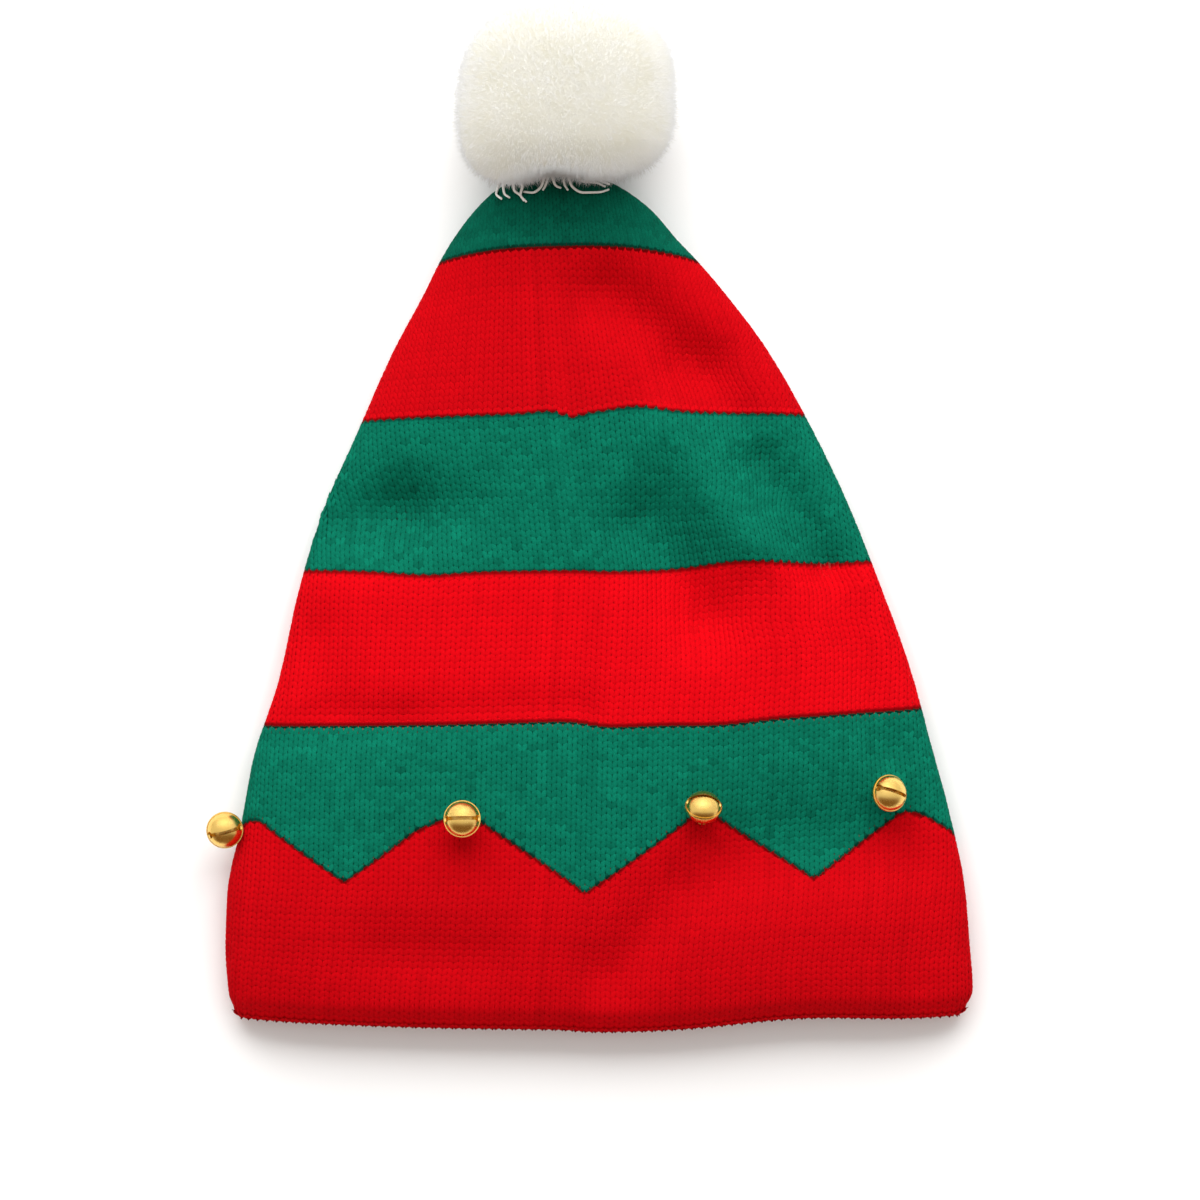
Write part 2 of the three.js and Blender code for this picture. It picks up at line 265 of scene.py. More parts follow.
# from x, from y, to x, to y, width, lift
FOLDS = [
    (2, 246, 36, 223, 11, -6.5),
    (28, 221, 46, 207, 9, -4),
    (24, 199, 50, 160, 10, 5.5),
    (55, 189, 76, 156, 9, -7),
    (14, 169, 34, 138, 12, -8),
    (-88, 173, -68, 174, 13, -9),
    (-66, 175, -46, 174, 11, -3.5),
    (-96, 132, -90, 112, 11, -4),
    (-112, 103, -68, 104, 8, -3.5),
    (-58, 105, -6, 106, 8, -2),
    (78, 150, 96, 92, 9, -5),
    (50, 59, 98, 64, 18, -7),
    (26, 46, 4, 20, 11, -4),
    (-70, 26, -42, 24, 13, -3),
    (108, 50, 109, 16, 10, -2.5),
    (-12, 250, -2, 150, 6, -0.5),
    (-2, 150, -9, 8, 6, -0.5),
]
SIDE_Y = SECTIONS[:, 0]


def smooth_through(places, values, at):
    """Values at any place, on a smooth curve that never overshoots its rows."""
    steps = np.diff(values) / np.diff(places)
    before, after = steps[:-1], steps[1:]
    same_way = before * after > 0
    inner = np.where(same_way, 2 * before * after / np.where(same_way, before + after, 1.0), 0.0)
    slopes = np.concatenate([steps[:1], inner, steps[-1:]])
    i = np.clip(np.searchsorted(places, at, side="right") - 1, 0, len(places) - 2)
    span = places[i + 1] - places[i]
    t = (at - places[i]) / span
    keep = (1 + 2 * t) * (1 - t) ** 2
    bend = t * (1 - t) ** 2 * span * slopes[i] + t * t * (t - 1) * span * slopes[i + 1]
    return keep * values[i] + (1 - keep) * values[i + 1] + bend


def section_at(side_y):
    """rise, left, right, height and square of the sections at these places along the hat."""
    return [smooth_through(SIDE_Y, SECTIONS[:, k], side_y) for k in range(1, 6)]


def fold_lift(x, y):
    """How far the soft dents and ridges move the front at these points."""
    lift = np.zeros(np.broadcast(x, y).shape)
    for from_x, from_y, to_x, to_y, width, height in FOLDS:
        run_x, run_y = to_x - from_x, to_y - from_y
        along = ((x - from_x) * run_x + (y - from_y) * run_y) / (run_x ** 2 + run_y ** 2)
        near = np.clip(along, 0, 1)
        off = np.hypot(x - from_x - near * run_x, y - from_y - near * run_y)
        lift += height * np.exp(-((off / width) ** 2))
    return lift


print("perimeter of the hem is about", round(2 * (SECTIONS[0, 3] - SECTIONS[0, 2])), "mm")

# %% [markdown]
# ## Outlines of the knitting
# A course of knitting is one row of stitches round the hat. Its outline goes over the front from the
# left fold to the right one and back along the floor. The courses don't lie quite level: they climb
# a little from left to right and come down again near the seam in the middle of the front, as the stripes
# of the photograph show. One short table holds the climb and the step along the hat, and another the
# ripples where the cloth has been pushed together or pulled.

# %% Course outlines
FRONT_STEPS = 150
ROLL_STEPS = 8
UNDER_STEPS = 44

# side_y, climb from the middle to a fold, step at the seam, x of the seam
LIE_OF_COURSES = np.array([
    (0, 0.8, -1.0, -9.0),
    (20, 1.2, -1.2, -8.0),
    (52, 2.4, -1.2, -5.0),
    (105, 4.2, -2.6, -4.0),
    (155, 1.9, -0.8, -1.7),
    (206, 1.0, 0.0, -7.5),
    (257, 0.2, 0.0, -12.5),
    (290, 0.0, 0.0, -14.5),
], dtype=float)
SEAM_SOFTNESS = 6.0
# x, y, width, lift of each ripple
RIPPLES = (
    (-15, 257, 16, -0.7),
    (11.7, 206, 10, 2.0),
    (-9.4, 206, 4, -1.5),
    (-17.5, 206, 7, 0.8),
    (-58, 155, 14, -1.2),
    (48, 155, 17, 2.2),
    (40, 105, 14, -0.9),
)
RIPPLE_REACH = 18.0
HEM_LIFT, HEM_LIFT_X, HEM_LIFT_WIDTH, HEM_LIFT_REACH = 3.2, 67.0, 32.0, 45.0


def lie_at(side_y):
    """climb, step and seam x of the courses at these places along the hat."""
    return [np.interp(side_y, LIE_OF_COURSES[:, 0], LIE_OF_COURSES[:, k]) for k in (1, 2, 3)]


def front_across():
    """Places across the front from -1 to 1, closer together towards the folds."""
    even = np.linspace(-1, 1, FRONT_STEPS + 1)
    return (even + 2 * np.sin(even * math.pi / 2)) / 3


def outline(side_y, inset):
    """x, z and place across of one closed course outline, and how many of its points are front."""
    rise, left, right, height, square = section_at(np.float64(side_y))
    half, middle = (right - left) / 2 - inset, (left + right) / 2
    u = front_across()
    x = middle + u * half
    flat = np.sqrt(np.maximum(0, 1 - np.abs(u) ** square))
    fold_z = FOLD_SHARE * height
    z = fold_z + (height - inset - fold_z + fold_lift(x, side_y + rise * (1 - u ** 2))) * flat
    roll = fold_z - inset
    flat_end = 1 - roll / half
    turn = np.linspace(0, math.pi / 2, ROLL_STEPS + 1)[1:-1]
    rolled = flat_end + roll / half * np.cos(turn)
    under = np.linspace(flat_end, -flat_end, UNDER_STEPS + 1)
    back_u = np.concatenate([rolled, under, -rolled[::-1]])
    past = np.clip((np.abs(back_u) * half - (half - roll)) / roll, 0, 1)
    back_z = inset + roll * (1 - np.sqrt(1 - past ** 2))
    all_u = np.concatenate([u, back_u])
    return middle + all_u * half, np.concatenate([z, back_z]), all_u, len(u)


def course_y(side_y, drop, x, u, front, from_seam):
    """y of points of a course: level, bow, climb, step at the seam, ripples and the drawn-up hem."""
    rise = section_at(np.float64(side_y))[0]
    climb, step, _ = lie_at(side_y)
    on_front = climb * u + step / 2 * np.tanh(from_seam / SEAM_SOFTNESS)
    for ripple_x, ripple_y, width, lift in RIPPLES:
        on_front += lift * np.exp(-((x - ripple_x) / width) ** 2 - ((side_y - ripple_y) / RIPPLE_REACH) ** 2)
    on_back = (climb + step / 2) * u
    drawn_up = HEM_LIFT * np.exp(-((x - HEM_LIFT_X) / HEM_LIFT_WIDTH) ** 2 - side_y / HEM_LIFT_REACH)
    return side_y + rise * (1 - u ** 2) - drop + np.where(front, on_front, on_back) + drawn_up


def course_ring(side_y, inset, drop):
    """The points of one closed course outline, in hat millimetres."""
    x, z, u, front_count = outline(side_y, inset)
    front = np.arange(len(u)) < front_count
    y = course_y(side_y, drop, x, u, front, x - lie_at(side_y)[2])
    return np.stack([x, y, z], axis=1)


ring_size = len(course_ring(50.0, 0.0, 0.0))
print("points in an outline:", ring_size)

# %% [markdown]
# ## The stripes
# Four level colour changes run round the hat, and a zigzag of twelve runs stands over the cuff, with a low
# point at the seam and some of its peaks rounded. Each is a height along the hat. Knitting changes colour
# stitch by stitch, so a stitch only needs to know how far it is above or below the nearest change.

# %% Where the colours change
STRIPE_LEVELS = (104.65, 155.2, 204.9, 257.5)
# distance from the seam along the cloth, height of the zigzag there
ZIGZAG_RIGHT = ((0, 50), (39, 76.8), (77, 51.4), (100.5, 67.9), (105, 71.2), (108, 71.9), (114, 70.2),
                (120, 66.6))
ZIGZAG_LEFT = ((0, 50), (36, 73.4), (41, 75), (48, 73.6), (56, 70.4), (80, 53), (109.5, 72.4), (114, 72.4),
               (120, 69.5))
# share of the way from there to the middle of the back, height of the zigzag there
BACK_RUNS = ((0.2, 52.5), (0.6, 73), (1, 52.5))


def zigzag_height(from_seam, half_round):
    """Height of the zigzag at distances from the seam, on a course that is 2 half_round long."""
    away = np.abs(from_seam)
    heights = []
    for knots in (ZIGZAG_LEFT, ZIGZAG_RIGHT):
        places, levels = zip(*knots)
        shares, back_levels = zip((0, levels[-1]), *BACK_RUNS)
        share = (away - places[-1]) / (half_round - places[-1])
        on_back = np.interp(share, shares, back_levels)
        heights.append(np.where(away < places[-1], np.interp(away, places, levels), on_back))
    return np.where(from_seam < 0, heights[0], heights[1])


def stripe_of(side_y, zigzag):
    """Which stripe a place is in, from 0 for the cuff to 5 for the tip, and how far it is from a change."""
    changes = np.stack([zigzag, *(np.full_like(zigzag, level) for level in STRIPE_LEVELS)])
    stripe = (side_y >= changes).sum(axis=0)
    return stripe, np.abs(side_y - changes).min(axis=0)


GREEN_STRIPES = (1, 3, 5)
stripe_colours = ["green" if i in GREEN_STRIPES else "red" for i in range(len(STRIPE_LEVELS) + 2)]
print("stripes from the hem:", stripe_colours)

# %% [markdown]
# ## Yarn
# Acrylic yarn is matte, a little hairy, and strong in colour. Each stitch carries two numbers. Shade says
# how much darker or lighter it is than the yarn, because a machine never pulls two loops the same, and
# it also carries a painted shade for each stripe. Beyond says how many millimetres a point lies past the
# colour change, where the yarn of the other colour comes through, and a dark line shows along the change.
# Fine fibres are a bump.

# %% Yarn materials
RED = (0.54, 0.0010, 0.0040)
RED_LIGHT = (0.64, 0.0016, 0.0060)
GREEN = (0.0010, 0.080, 0.048)
GREEN_LIGHT = (0.0025, 0.180, 0.108)
# The dark line along each colour change is partly the two colours mixed in the first course of the new colour
# and partly painted shade.
LINE_SHADE, LINE_HALF_WIDTH = 0.3, 1.15
FRAY, FRAY_EDGE = 0.8, 0.1
FIBRE_SCALE = 2500.0


def ranged(tree, value, low, high, at_low, at_high):
    """A value brought smoothly from one range to another."""
    made = add(tree, "ShaderNodeMapRange", interpolation_type="SMOOTHSTEP")
    for label, number in (("From Min", low), ("From Max", high), ("To Min", at_low), ("To Max", at_high)):
        made.inputs[label].default_value = number
    tree.links.new(value, made.inputs["Value"])
    return made.outputs["Result"]


def sum_or_product(tree, operation, first, second):
    """Adds or multiplies two values."""
    made = add(tree, "ShaderNodeMath", operation=operation)
    for value, socket in ((first, made.inputs[0]), (second, made.inputs[1])):
        if isinstance(value, float):
            socket.default_value = value
        else:
            tree.links.new(value, socket)
    return made.outputs["Value"]


def mixed_colour(tree, share, first, second):
    """Two colours mixed by a share."""
    made = add(tree, "ShaderNodeMix", data_type="RGBA")
    tree.links.new(share, made.inputs["Factor"])
    for colour, socket in ((first, made.inputs["A"]), (second, made.inputs["B"])):
        if isinstance(colour, tuple):
            socket.default_value = (*colour, 1.0)
        else:
            tree.links.new(colour, socket)
    return made.outputs["Result"]


def noise_in_object(tree, scale, detail):
    """Noise that keeps its place in the object."""
    place = add(tree, "ShaderNodeTexCoord")
    made = add(tree, "ShaderNodeTexNoise")
    made.inputs["Scale"].default_value = scale
    made.inputs["Detail"].default_value = detail
    tree.links.new(place.outputs["Object"], made.inputs["Vector"])
    return made.outputs["Fac"]


def add_bump(tree, shader, height, strength, distance):
    """Bumps on a shader, from a height. Returns the bump node."""
    made = add(tree, "ShaderNodeBump")
    made.inputs["Strength"].default_value = strength
    made.inputs["Distance"].default_value = distance
    tree.links.new(height, made.inputs["Height"])
    tree.links.new(made.outputs["Normal"], shader.inputs["Normal"])
    return made


def yarn_material(name, colour, light, other):
    """Matte yarn that follows the shade attribute and turns into the other colour beyond a change."""
    made, tree, shader = new_material(name)
    shade = add(tree, "ShaderNodeAttribute", attribute_name="shade").outputs["Fac"]
    beyond = add(tree, "ShaderNodeAttribute", attribute_name="beyond").outputs["Fac"]
    fibres = noise_in_object(tree, FIBRE_SCALE, 3.0)
    frayed = sum_or_product(tree, "MULTIPLY", fibres, FRAY)
    frayed = sum_or_product(tree, "ADD", frayed, beyond)
    crossed = ranged(tree, frayed, FRAY / 2 - FRAY_EDGE, FRAY / 2 + FRAY_EDGE, 0.0, 1.0)
    near = sum_or_product(tree, "MULTIPLY", beyond, beyond)
    line = ranged(tree, near, 0.0, LINE_HALF_WIDTH ** 2, LINE_SHADE, 1.0)
    own = mixed_colour(tree, fibres, colour, light)
    shaded = add(tree, "ShaderNodeVectorMath", operation="SCALE")
    tree.links.new(mixed_colour(tree, crossed, own, other), shaded.inputs["Vector"])
    tree.links.new(sum_or_product(tree, "MULTIPLY", shade, line), shaded.inputs["Scale"])
    tree.links.new(shaded.outputs["Vector"], shader.inputs["Base Color"])
    add_bump(tree, shader, fibres, 0.35, 0.2 * MM)
    shader.inputs["Roughness"].default_value = 0.85
    shader.inputs["Specular IOR Level"].default_value = 0.02
    shader.inputs["Sheen Weight"].default_value = 0.05
    shader.inputs["Sheen Roughness"].default_value = 0.4
    shader.inputs["Sheen Tint"].default_value = (*light, 1.0)
    return made


red_yarn = yarn_material("red_yarn", RED, RED_LIGHT, GREEN)
green_yarn = yarn_material("green_yarn", GREEN, GREEN_LIGHT, RED)
print("yarns:", red_yarn.name, green_yarn.name)

# %% [markdown]
# ## The wall behind the stitches
# Between the legs of the stitches the eye meets the yarn that runs behind them. A closed wall a little
# under the surface stands for it: outside from the tip to the hem, round the hem's edge, inside back to
# the tip, like a sock. It is the cloth of the hat. Its colour follows the stripes and is darker, as yarn
# in the shadow of stitches is, and purl bumps show on the inside.

# %% Rows of the wall
WALL_OUTER_INSET = 0.55
OUTER_SPACING = 3.0
INNER_SPACING = 5.0
EDGE_TURNS = (30, 60, 90, 120, 150)

edge_radius = (WALL - WALL_OUTER_INSET) / 2
outer_places = np.linspace(SIDE_Y[-1], SIDE_Y[0], round((SIDE_Y[-1] - SIDE_Y[0]) / OUTER_SPACING))
inner_places = np.linspace(SIDE_Y[0], LAST_INNER_Y, round((LAST_INNER_Y - SIDE_Y[0]) / INNER_SPACING))
wall_rail = [(y, WALL_OUTER_INSET, 0.0) for y in outer_places]
for degrees in EDGE_TURNS:
    turn_angle = math.radians(degrees)
    edge_inset = WALL_OUTER_INSET + edge_radius * (1 - math.cos(turn_angle))
    wall_rail.append((SIDE_Y[0], edge_inset, edge_radius * math.sin(turn_angle)))
wall_rail += [(y, WALL, 0.0) for y in inner_places]
print("rows of the wall:", len(wall_rail))


# %% Knitted wall
def around_from_seam(side_y, inset):
    """Distance of each outline point from the seam along the cloth, and half the way round."""
    x, z, _, front_count = outline(side_y, inset)
    steps = np.hypot(np.diff(np.append(x, x[0])), np.diff(np.append(z, z[0])))
    so_far = np.concatenate([[0.0], np.cumsum(steps)])
    round_length = so_far[-1]
    seam = np.interp(lie_at(side_y)[2], x[:front_count], so_far[:front_count])
    away = so_far[:-1] - seam
    return (away + round_length / 2) % round_length - round_length / 2, round_length / 2


wall_points, wall_green = [], []
for side_y, inset, drop in wall_rail:
    wall_points.append(course_ring(side_y, inset, drop))
    away, half_round = around_from_seam(side_y, inset)
    stripe, _ = stripe_of(side_y, zigzag_height(away, half_round))
    wall_green.append(np.isin(stripe, GREEN_STRIPES))

points = np.concatenate([[TIP], *wall_points, [INNER_TIP]])
green = np.concatenate([[True], *wall_green, [True]]).astype(np.float32)
end_point = len(points) - 1
last_ring = 1 + (len(wall_rail) - 1) * ring_size
faces = []
for i in range(ring_size):
    j = (i + 1) % ring_size
    faces.append((0, 1 + i, 1 + j))
    faces.append((end_point, last_ring + j, last_ring + i))
    for r in range(len(wall_rail) - 1):
        here, below = 1 + r * ring_size, 1 + (r + 1) * ring_size
        faces.append((here + i, below + i, below + j, here + j))

wall_mesh = bpy.data.meshes.new("knitted_wall")
wall_mesh.from_pydata(to_frame(points).tolist(), [], faces)
wall_mesh.attributes.new("green_part", "FLOAT", "POINT").data.foreach_set("value", green)
shade_smooth(wall_mesh)
wall_mesh.update()
knitted_wall = new_object("knitted_wall", wall_mesh)
print("wall faces:", len(faces))

# %% Yarn behind the stitches
RED_WALL_TONE, GREEN_WALL_TONE = 1.3, 0.7

wall_yarn, tree, shader = new_material("yarn_behind_stitches")
stripes = add(tree, "ShaderNodeAttribute", attribute_name="green_part")
red_behind = tuple(RED_WALL_TONE * c for c in RED)
green_behind = tuple(GREEN_WALL_TONE * c for c in GREEN)
behind = mixed_colour(tree, stripes.outputs["Fac"], red_behind, green_behind)
place = add(tree, "ShaderNodeTexCoord")
purl = add(tree, "ShaderNodeTexVoronoi")
purl.inputs["Scale"].default_value = 620.0
tree.links.new(place.outputs["Object"], purl.inputs["Vector"])
purl_tone = add(tree, "ShaderNodeMix", data_type="RGBA", blend_type="MULTIPLY")
purl_tone.inputs["Factor"].default_value = 0.5
tree.links.new(behind, purl_tone.inputs["A"])
tree.links.new(purl.outputs["Distance"], purl_tone.inputs["B"])
tree.links.new(purl_tone.outputs["Result"], shader.inputs["Base Color"])
add_bump(tree, shader, purl.outputs["Distance"], 0.8, 0.6 * MM).invert = True
shader.inputs["Roughness"].default_value = 0.95
shader.inputs["Specular IOR Level"].default_value = 0.1
wall_mesh.materials.append(wall_yarn)

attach(knitted_wall, "root")
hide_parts("knit_crown")

# %% [markdown]
# ## Where every stitch sits
# A stitch of stocking stitch is a small V. The Vs of a course stand side by side, and those of the next
# course stand on them, so that they make upright ribs, the wales. The wales are counted from the seam
# both ways and meet on the back. For every stitch the script works out its place, the way out of the
# cloth, the way along its wale and its size, and keeps them as attributes of a bare point.

# %% Stitch places
WALE, GATHERED_WALE = 3.35, 2.4
GATHERED_FROM, GATHERED_TO = 205.0, 275.0
COURSE = 2.15
STITCH_INSET = 0.35
INNER_COURSES = 4
HEM_TURNS = (45, 135)
rng = np.random.default_rng(24)

hem_radius = WALL / 2 - STITCH_INSET
stitch_rail = [(SIDE_Y[0] + COURSE * (k + 0.5), WALL - STITCH_INSET, 0.0) for k in range(INNER_COURSES)][::-1]
for degrees in HEM_TURNS[::-1]:
    turn_angle = math.radians(degrees)
    edge_inset = STITCH_INSET + hem_radius * (1 - math.cos(turn_angle))
    stitch_rail.append((SIDE_Y[0], edge_inset, hem_radius * math.sin(turn_angle)))
first_outer = len(stitch_rail)
outer_courses = round((SIDE_Y[-1] - SIDE_Y[0]) / COURSE)
stitch_rail += [(SIDE_Y[0] + COURSE * (k + 0.5), STITCH_INSET, 0.0) for k in range(outer_courses)]
stitch_rail = [row for row in stitch_rail if row[0] <= SIDE_Y[-1]]


def wale_at(side_y):
    """Width of a stitch. The tip is gathered, so the stitches are narrower there."""
    return np.interp(side_y, (GATHERED_FROM, GATHERED_TO), (WALE, GATHERED_WALE))


class Course:
    """One course of the hat: places on it at any distance from the seam."""

    def __init__(self, side_y, inset, drop):
        self.side_y, self.drop = side_y, drop
        x, z, u, self.front_count = outline(side_y, inset)
        self.x, self.z, self.u = (np.append(a, a[0]) for a in (x, z, u))
        steps = np.hypot(np.diff(self.x), np.diff(self.z))
        self.so_far = np.concatenate([[0.0], np.cumsum(steps)])
        self.length = self.so_far[-1]
        seam_x = lie_at(side_y)[2]
        self.seam = np.interp(seam_x, self.x[:self.front_count], self.so_far[:self.front_count])
        self.front_end = self.so_far[self.front_count - 1]

    def at(self, from_seam):
        """Points at signed distances from the seam, in hat millimetres."""
        reach = np.clip(from_seam, -self.length / 2, self.length / 2)
        s = (self.seam + reach) % self.length
        x, z, u = (np.interp(s, self.so_far, a) for a in (self.x, self.z, self.u))
        y = course_y(self.side_y, self.drop, x, u, s <= self.front_end, from_seam)
        return np.stack([x, y, z], axis=1)


courses = [Course(*row) for row in stitch_rail]
print("courses:", len(courses), "of which round the hem and inside:", first_outer)

# %% Stitch attributes
SEAM_SHADE = 0.96
# Painted shade for each stripe from the cuff to the tip: the cuff and the upper red stripe are darker for
# light that falls away from them, and the tip for the pompom's shadow.
PAINTED_STRIPE_SHADE = np.array([0.79, 0.97, 0.96, 0.95, 0.76, 0.65])
WALE_SPREAD, COURSE_SPREAD = 0.015, 0.015
RED_SPREAD, GREEN_SPREAD = 0.02, 0.08
DARKEST, LIGHTEST = 0.3, 1.35
SHORTEST, TALLEST = 0.7 * COURSE, 1.6 * COURSE
SIDE_STEP = 0.4


def unit(vectors):
    """Vectors of length one, each along its own way."""
    return vectors / np.maximum(np.linalg.norm(vectors, axis=1, keepdims=True), 1e-9)


widest = max(course.length for course in courses)
most_wales = math.ceil(widest / GATHERED_WALE / 2)
wale_numbers = np.arange(-most_wales, most_wales)
wale_shades = rng.normal(1.0, WALE_SPREAD, len(wale_numbers))
found = {key_name: [] for key_name in ("place", "out", "up", "size", "shade", "stripe", "cell")}
for k in range(1, len(courses) - 1):
    course, below, above = courses[k], courses[k - 1], courses[k + 1]
    wale = wale_at(course.side_y)
    from_seam = (wale_numbers + 0.5) * wale
    here = np.abs(from_seam) < course.length / 2
    from_seam = from_seam[here]
    place = course.at(from_seam)
    up = (above.at(from_seam) - below.at(from_seam)) / 2
    along = course.at(from_seam + SIDE_STEP * wale) - course.at(from_seam - SIDE_STEP * wale)
    out = unit(np.cross(along, up))
    tall = np.clip(np.linalg.norm(up, axis=1), SHORTEST, TALLEST)
    stripe, _ = stripe_of(course.side_y, zigzag_height(from_seam, course.length / 2))
    spread = np.where(np.isin(stripe, GREEN_STRIPES), GREEN_SPREAD, RED_SPREAD)
    shade = wale_shades[here] * rng.normal(1.0, COURSE_SPREAD) * rng.normal(1.0, spread)
    # painted shade of the stripe
    shade *= PAINTED_STRIPE_SHADE[stripe]
    if k < first_outer:
        stripe = np.full_like(stripe, -1)
    shade *= np.where(np.abs(from_seam) < wale, SEAM_SHADE, 1.0)
    found["place"].append(place)
    found["out"].append(out)
    found["up"].append(unit(up))
    found["size"].append(np.stack([np.full_like(tall, wale), tall, np.ones_like(tall)], axis=1))
    found["shade"].append(np.clip(shade, DARKEST, LIGHTEST))
    found["stripe"].append(stripe)
    half_round = np.full_like(tall, course.length / 2)
    found["cell"].append(np.stack([from_seam, np.full_like(tall, k), half_round], axis=1))
stitches = {key_name: np.concatenate(rows) for key_name, rows in found.items()}
stitch_count = len(stitches["place"])
print("stitches:", stitch_count)

# %% [markdown]
# ## One stitch
# The V has two plump legs that lean apart and dive under at both ends, where the next course covers
# them, like grains of rice. A leg is a closed spindle with two rings of four points, sixteen triangles in
# all, because there are some sixteen thousand stitches. Smooth shading makes it look round.

# %% The V
# x in widths of a stitch, y in heights of a course, z in millimetres
LEG_FOOT = (0.13, -0.95, -0.08)
LEG_HEAD = (0.37, 0.95, -0.12)
LEG_RINGS = (0.33, 0.67)
LEG_HALF_WIDTH = 0.25
LEG_EDGE, LEG_TOP, LEG_UNDERSIDE = 0.04, 0.3, -0.5
LEG_MIDDLE = (LEG_FOOT[0] + LEG_HEAD[0]) / 2

leg_points, leg_faces = [], []
for side in (-1, 1):
    first = len(leg_points)
    leg_points.append(LEG_FOOT)
    for share in LEG_RINGS:
        x, y = (LEG_FOOT[k] + share * (LEG_HEAD[k] - LEG_FOOT[k]) for k in (0, 1))
        leg_points += [(x - LEG_HALF_WIDTH, y, LEG_EDGE), (x, y, LEG_TOP),
                       (x + LEG_HALF_WIDTH, y, LEG_EDGE), (x, y, LEG_UNDERSIDE)]
    leg_points.append(LEG_HEAD)
    leg_points[first:] = [(side * px, py, pz) for px, py, pz in leg_points[first:]]
    for a, b in ((1, 2), (2, 3), (3, 4), (4, 1)):
        leg_faces += [(first, first + a, first + b), (first + 9, first + b + 4, first + a + 4),
                      (first + a, first + a + 4, first + b + 4), (first + a, first + b + 4, first + b)]
v_mesh = bpy.data.meshes.new("v_stitch")
v_mesh.from_pydata(leg_points, [], leg_faces)
shade_smooth(v_mesh)
spot = v_mesh.attributes.new("leg_spot", "FLOAT_VECTOR", "POINT")
spot.data.foreach_set("vector", np.array(leg_points, dtype=np.float32).ravel())
facing = bmesh.new()
facing.from_mesh(v_mesh)
bmesh.ops.recalc_face_normals(facing, faces=facing.faces)
facing.to_mesh(v_mesh)
facing.free()
v_stitch = new_object("v_stitch", v_mesh)
print("triangles in a stitch:", len(v_mesh.polygons))

# %% [markdown]
# ## Knitting with Geometry Nodes
# Placing sixteen thousand objects one by one would take minutes. A node tree does it in a second: it puts
# the V on every point, turns it by the two directions kept there, scales it by the size kept there,
# makes everything one mesh and gives it its yarn. The tree is used once for each stripe, so that each
# stripe is a piece of one colour.

# %% Stitch tree
def new_tree(name, sockets):
    """A modifier tree with named inputs. Returns it, its input and output nodes, and identifiers by name."""
    made = bpy.data.node_groups.new(name, "GeometryNodeTree")
    made.is_modifier = True
    made.interface.new_socket("Result", in_out="OUTPUT", socket_type="NodeSocketGeometry")
    keys = {}
    for label, kind, value in sockets:
        socket = made.interface.new_socket(label, in_out="INPUT", socket_type=kind)
        if value is not None:
            socket.default_value = value
        keys[label] = socket.identifier
    return made, add(made, "NodeGroupInput"), add(made, "NodeGroupOutput"), keys


def attribute(tree, name, kind):
    """A node that reads a named attribute."""
    made = add(tree, "GeometryNodeInputNamedAttribute", data_type=kind)
    made.inputs["Name"].default_value = name
    return made.outputs["Attribute"]


knit_tree, given, result, knit_keys = new_tree("knit_stitches", [
    ("Points", "NodeSocketGeometry", None),
    ("Stitch", "NodeSocketObject", None),
    ("Yarn", "NodeSocketMaterial", None),
])
stitch_info = add(knit_tree, "GeometryNodeObjectInfo")
turned = add(knit_tree, "FunctionNodeAxesToRotation", primary_axis="Z", secondary_axis="Y")
placed = add(knit_tree, "GeometryNodeInstanceOnPoints")
real = add(knit_tree, "GeometryNodeRealizeInstances")
dyed = add(knit_tree, "GeometryNodeSetMaterial")
for start, end in (
    (given.outputs["Stitch"], stitch_info.inputs["Object"]),
    (attribute(knit_tree, "out", "FLOAT_VECTOR"), turned.inputs[0]),
    (attribute(knit_tree, "up", "FLOAT_VECTOR"), turned.inputs[1]),
    (given.outputs["Points"], placed.inputs["Points"]),
    (stitch_info.outputs["Geometry"], placed.inputs["Instance"]),
    (turned.outputs[0], placed.inputs["Rotation"]),
    (attribute(knit_tree, "size", "FLOAT_VECTOR"), placed.inputs["Scale"]),
    (placed.outputs["Instances"], real.inputs["Geometry"]),
    (real.outputs["Geometry"], dyed.inputs["Geometry"]),
    (given.outputs["Yarn"], dyed.inputs["Material"]),
    (dyed.outputs["Geometry"], result.inputs[0]),
):
    knit_tree.links.new(start, end)
print("knit tree nodes:", len(knit_tree.nodes))

# %% Work on plain meshes
course_levels = np.array([course.side_y for course in courses])
print("courses lie from", course_levels.min().round(1), "to", course_levels.max().round(1), "mm")


def settle(obj):
    """Turns an object's modifiers into its plain mesh."""
    graph = bpy.context.evaluated_depsgraph_get()
    plain = bpy.data.meshes.new_from_object(
        obj.evaluated_get(graph), preserve_all_data_layers=True, depsgraph=graph)
    plain.name = obj.name
    obj.modifiers.clear()
    obj.data = plain
    return plain


def read_attribute(mesh, name, width):
    """A point attribute as an array."""
    values = np.empty(len(mesh.vertices) * width, dtype=np.float32)
    mesh.attributes[name].data.foreach_get("vector" if width == 3 else "value", values)
    return values.reshape(-1, width)


def soften(mesh, outward, share):
    """Turns the shading of a hairy mesh partly the way that its whole surface faces."""
    own = np.empty(len(mesh.vertices) * 3, dtype=np.float32)
    mesh.vertex_normals.foreach_get("vector", own)
    mesh.normals_split_custom_set_from_vertices(unit((1 - share) * own.reshape(-1, 3) + share * outward))


def press_on_floor(mesh):
    """Moves points that would be under the floor up to it."""
    at = np.empty(len(mesh.vertices) * 3, dtype=np.float32)
    mesh.vertices.foreach_get("co", at)
    at[2::3] = np.maximum(at[2::3], 0.0)
    mesh.vertices.foreach_set("co", at)


def add_flat_map(mesh, across, up):
    """A flat map for colours to be baked into, from a place on it for every point."""
    corners = np.empty(len(mesh.loops), dtype=np.int32)
    mesh.loops.foreach_get("vertex_index", corners)
    flat_map = mesh.uv_layers.new(name="OFBake")
    flat_map.data.foreach_set("uv", np.stack([across, up], axis=1)[corners].astype(np.float32).ravel())


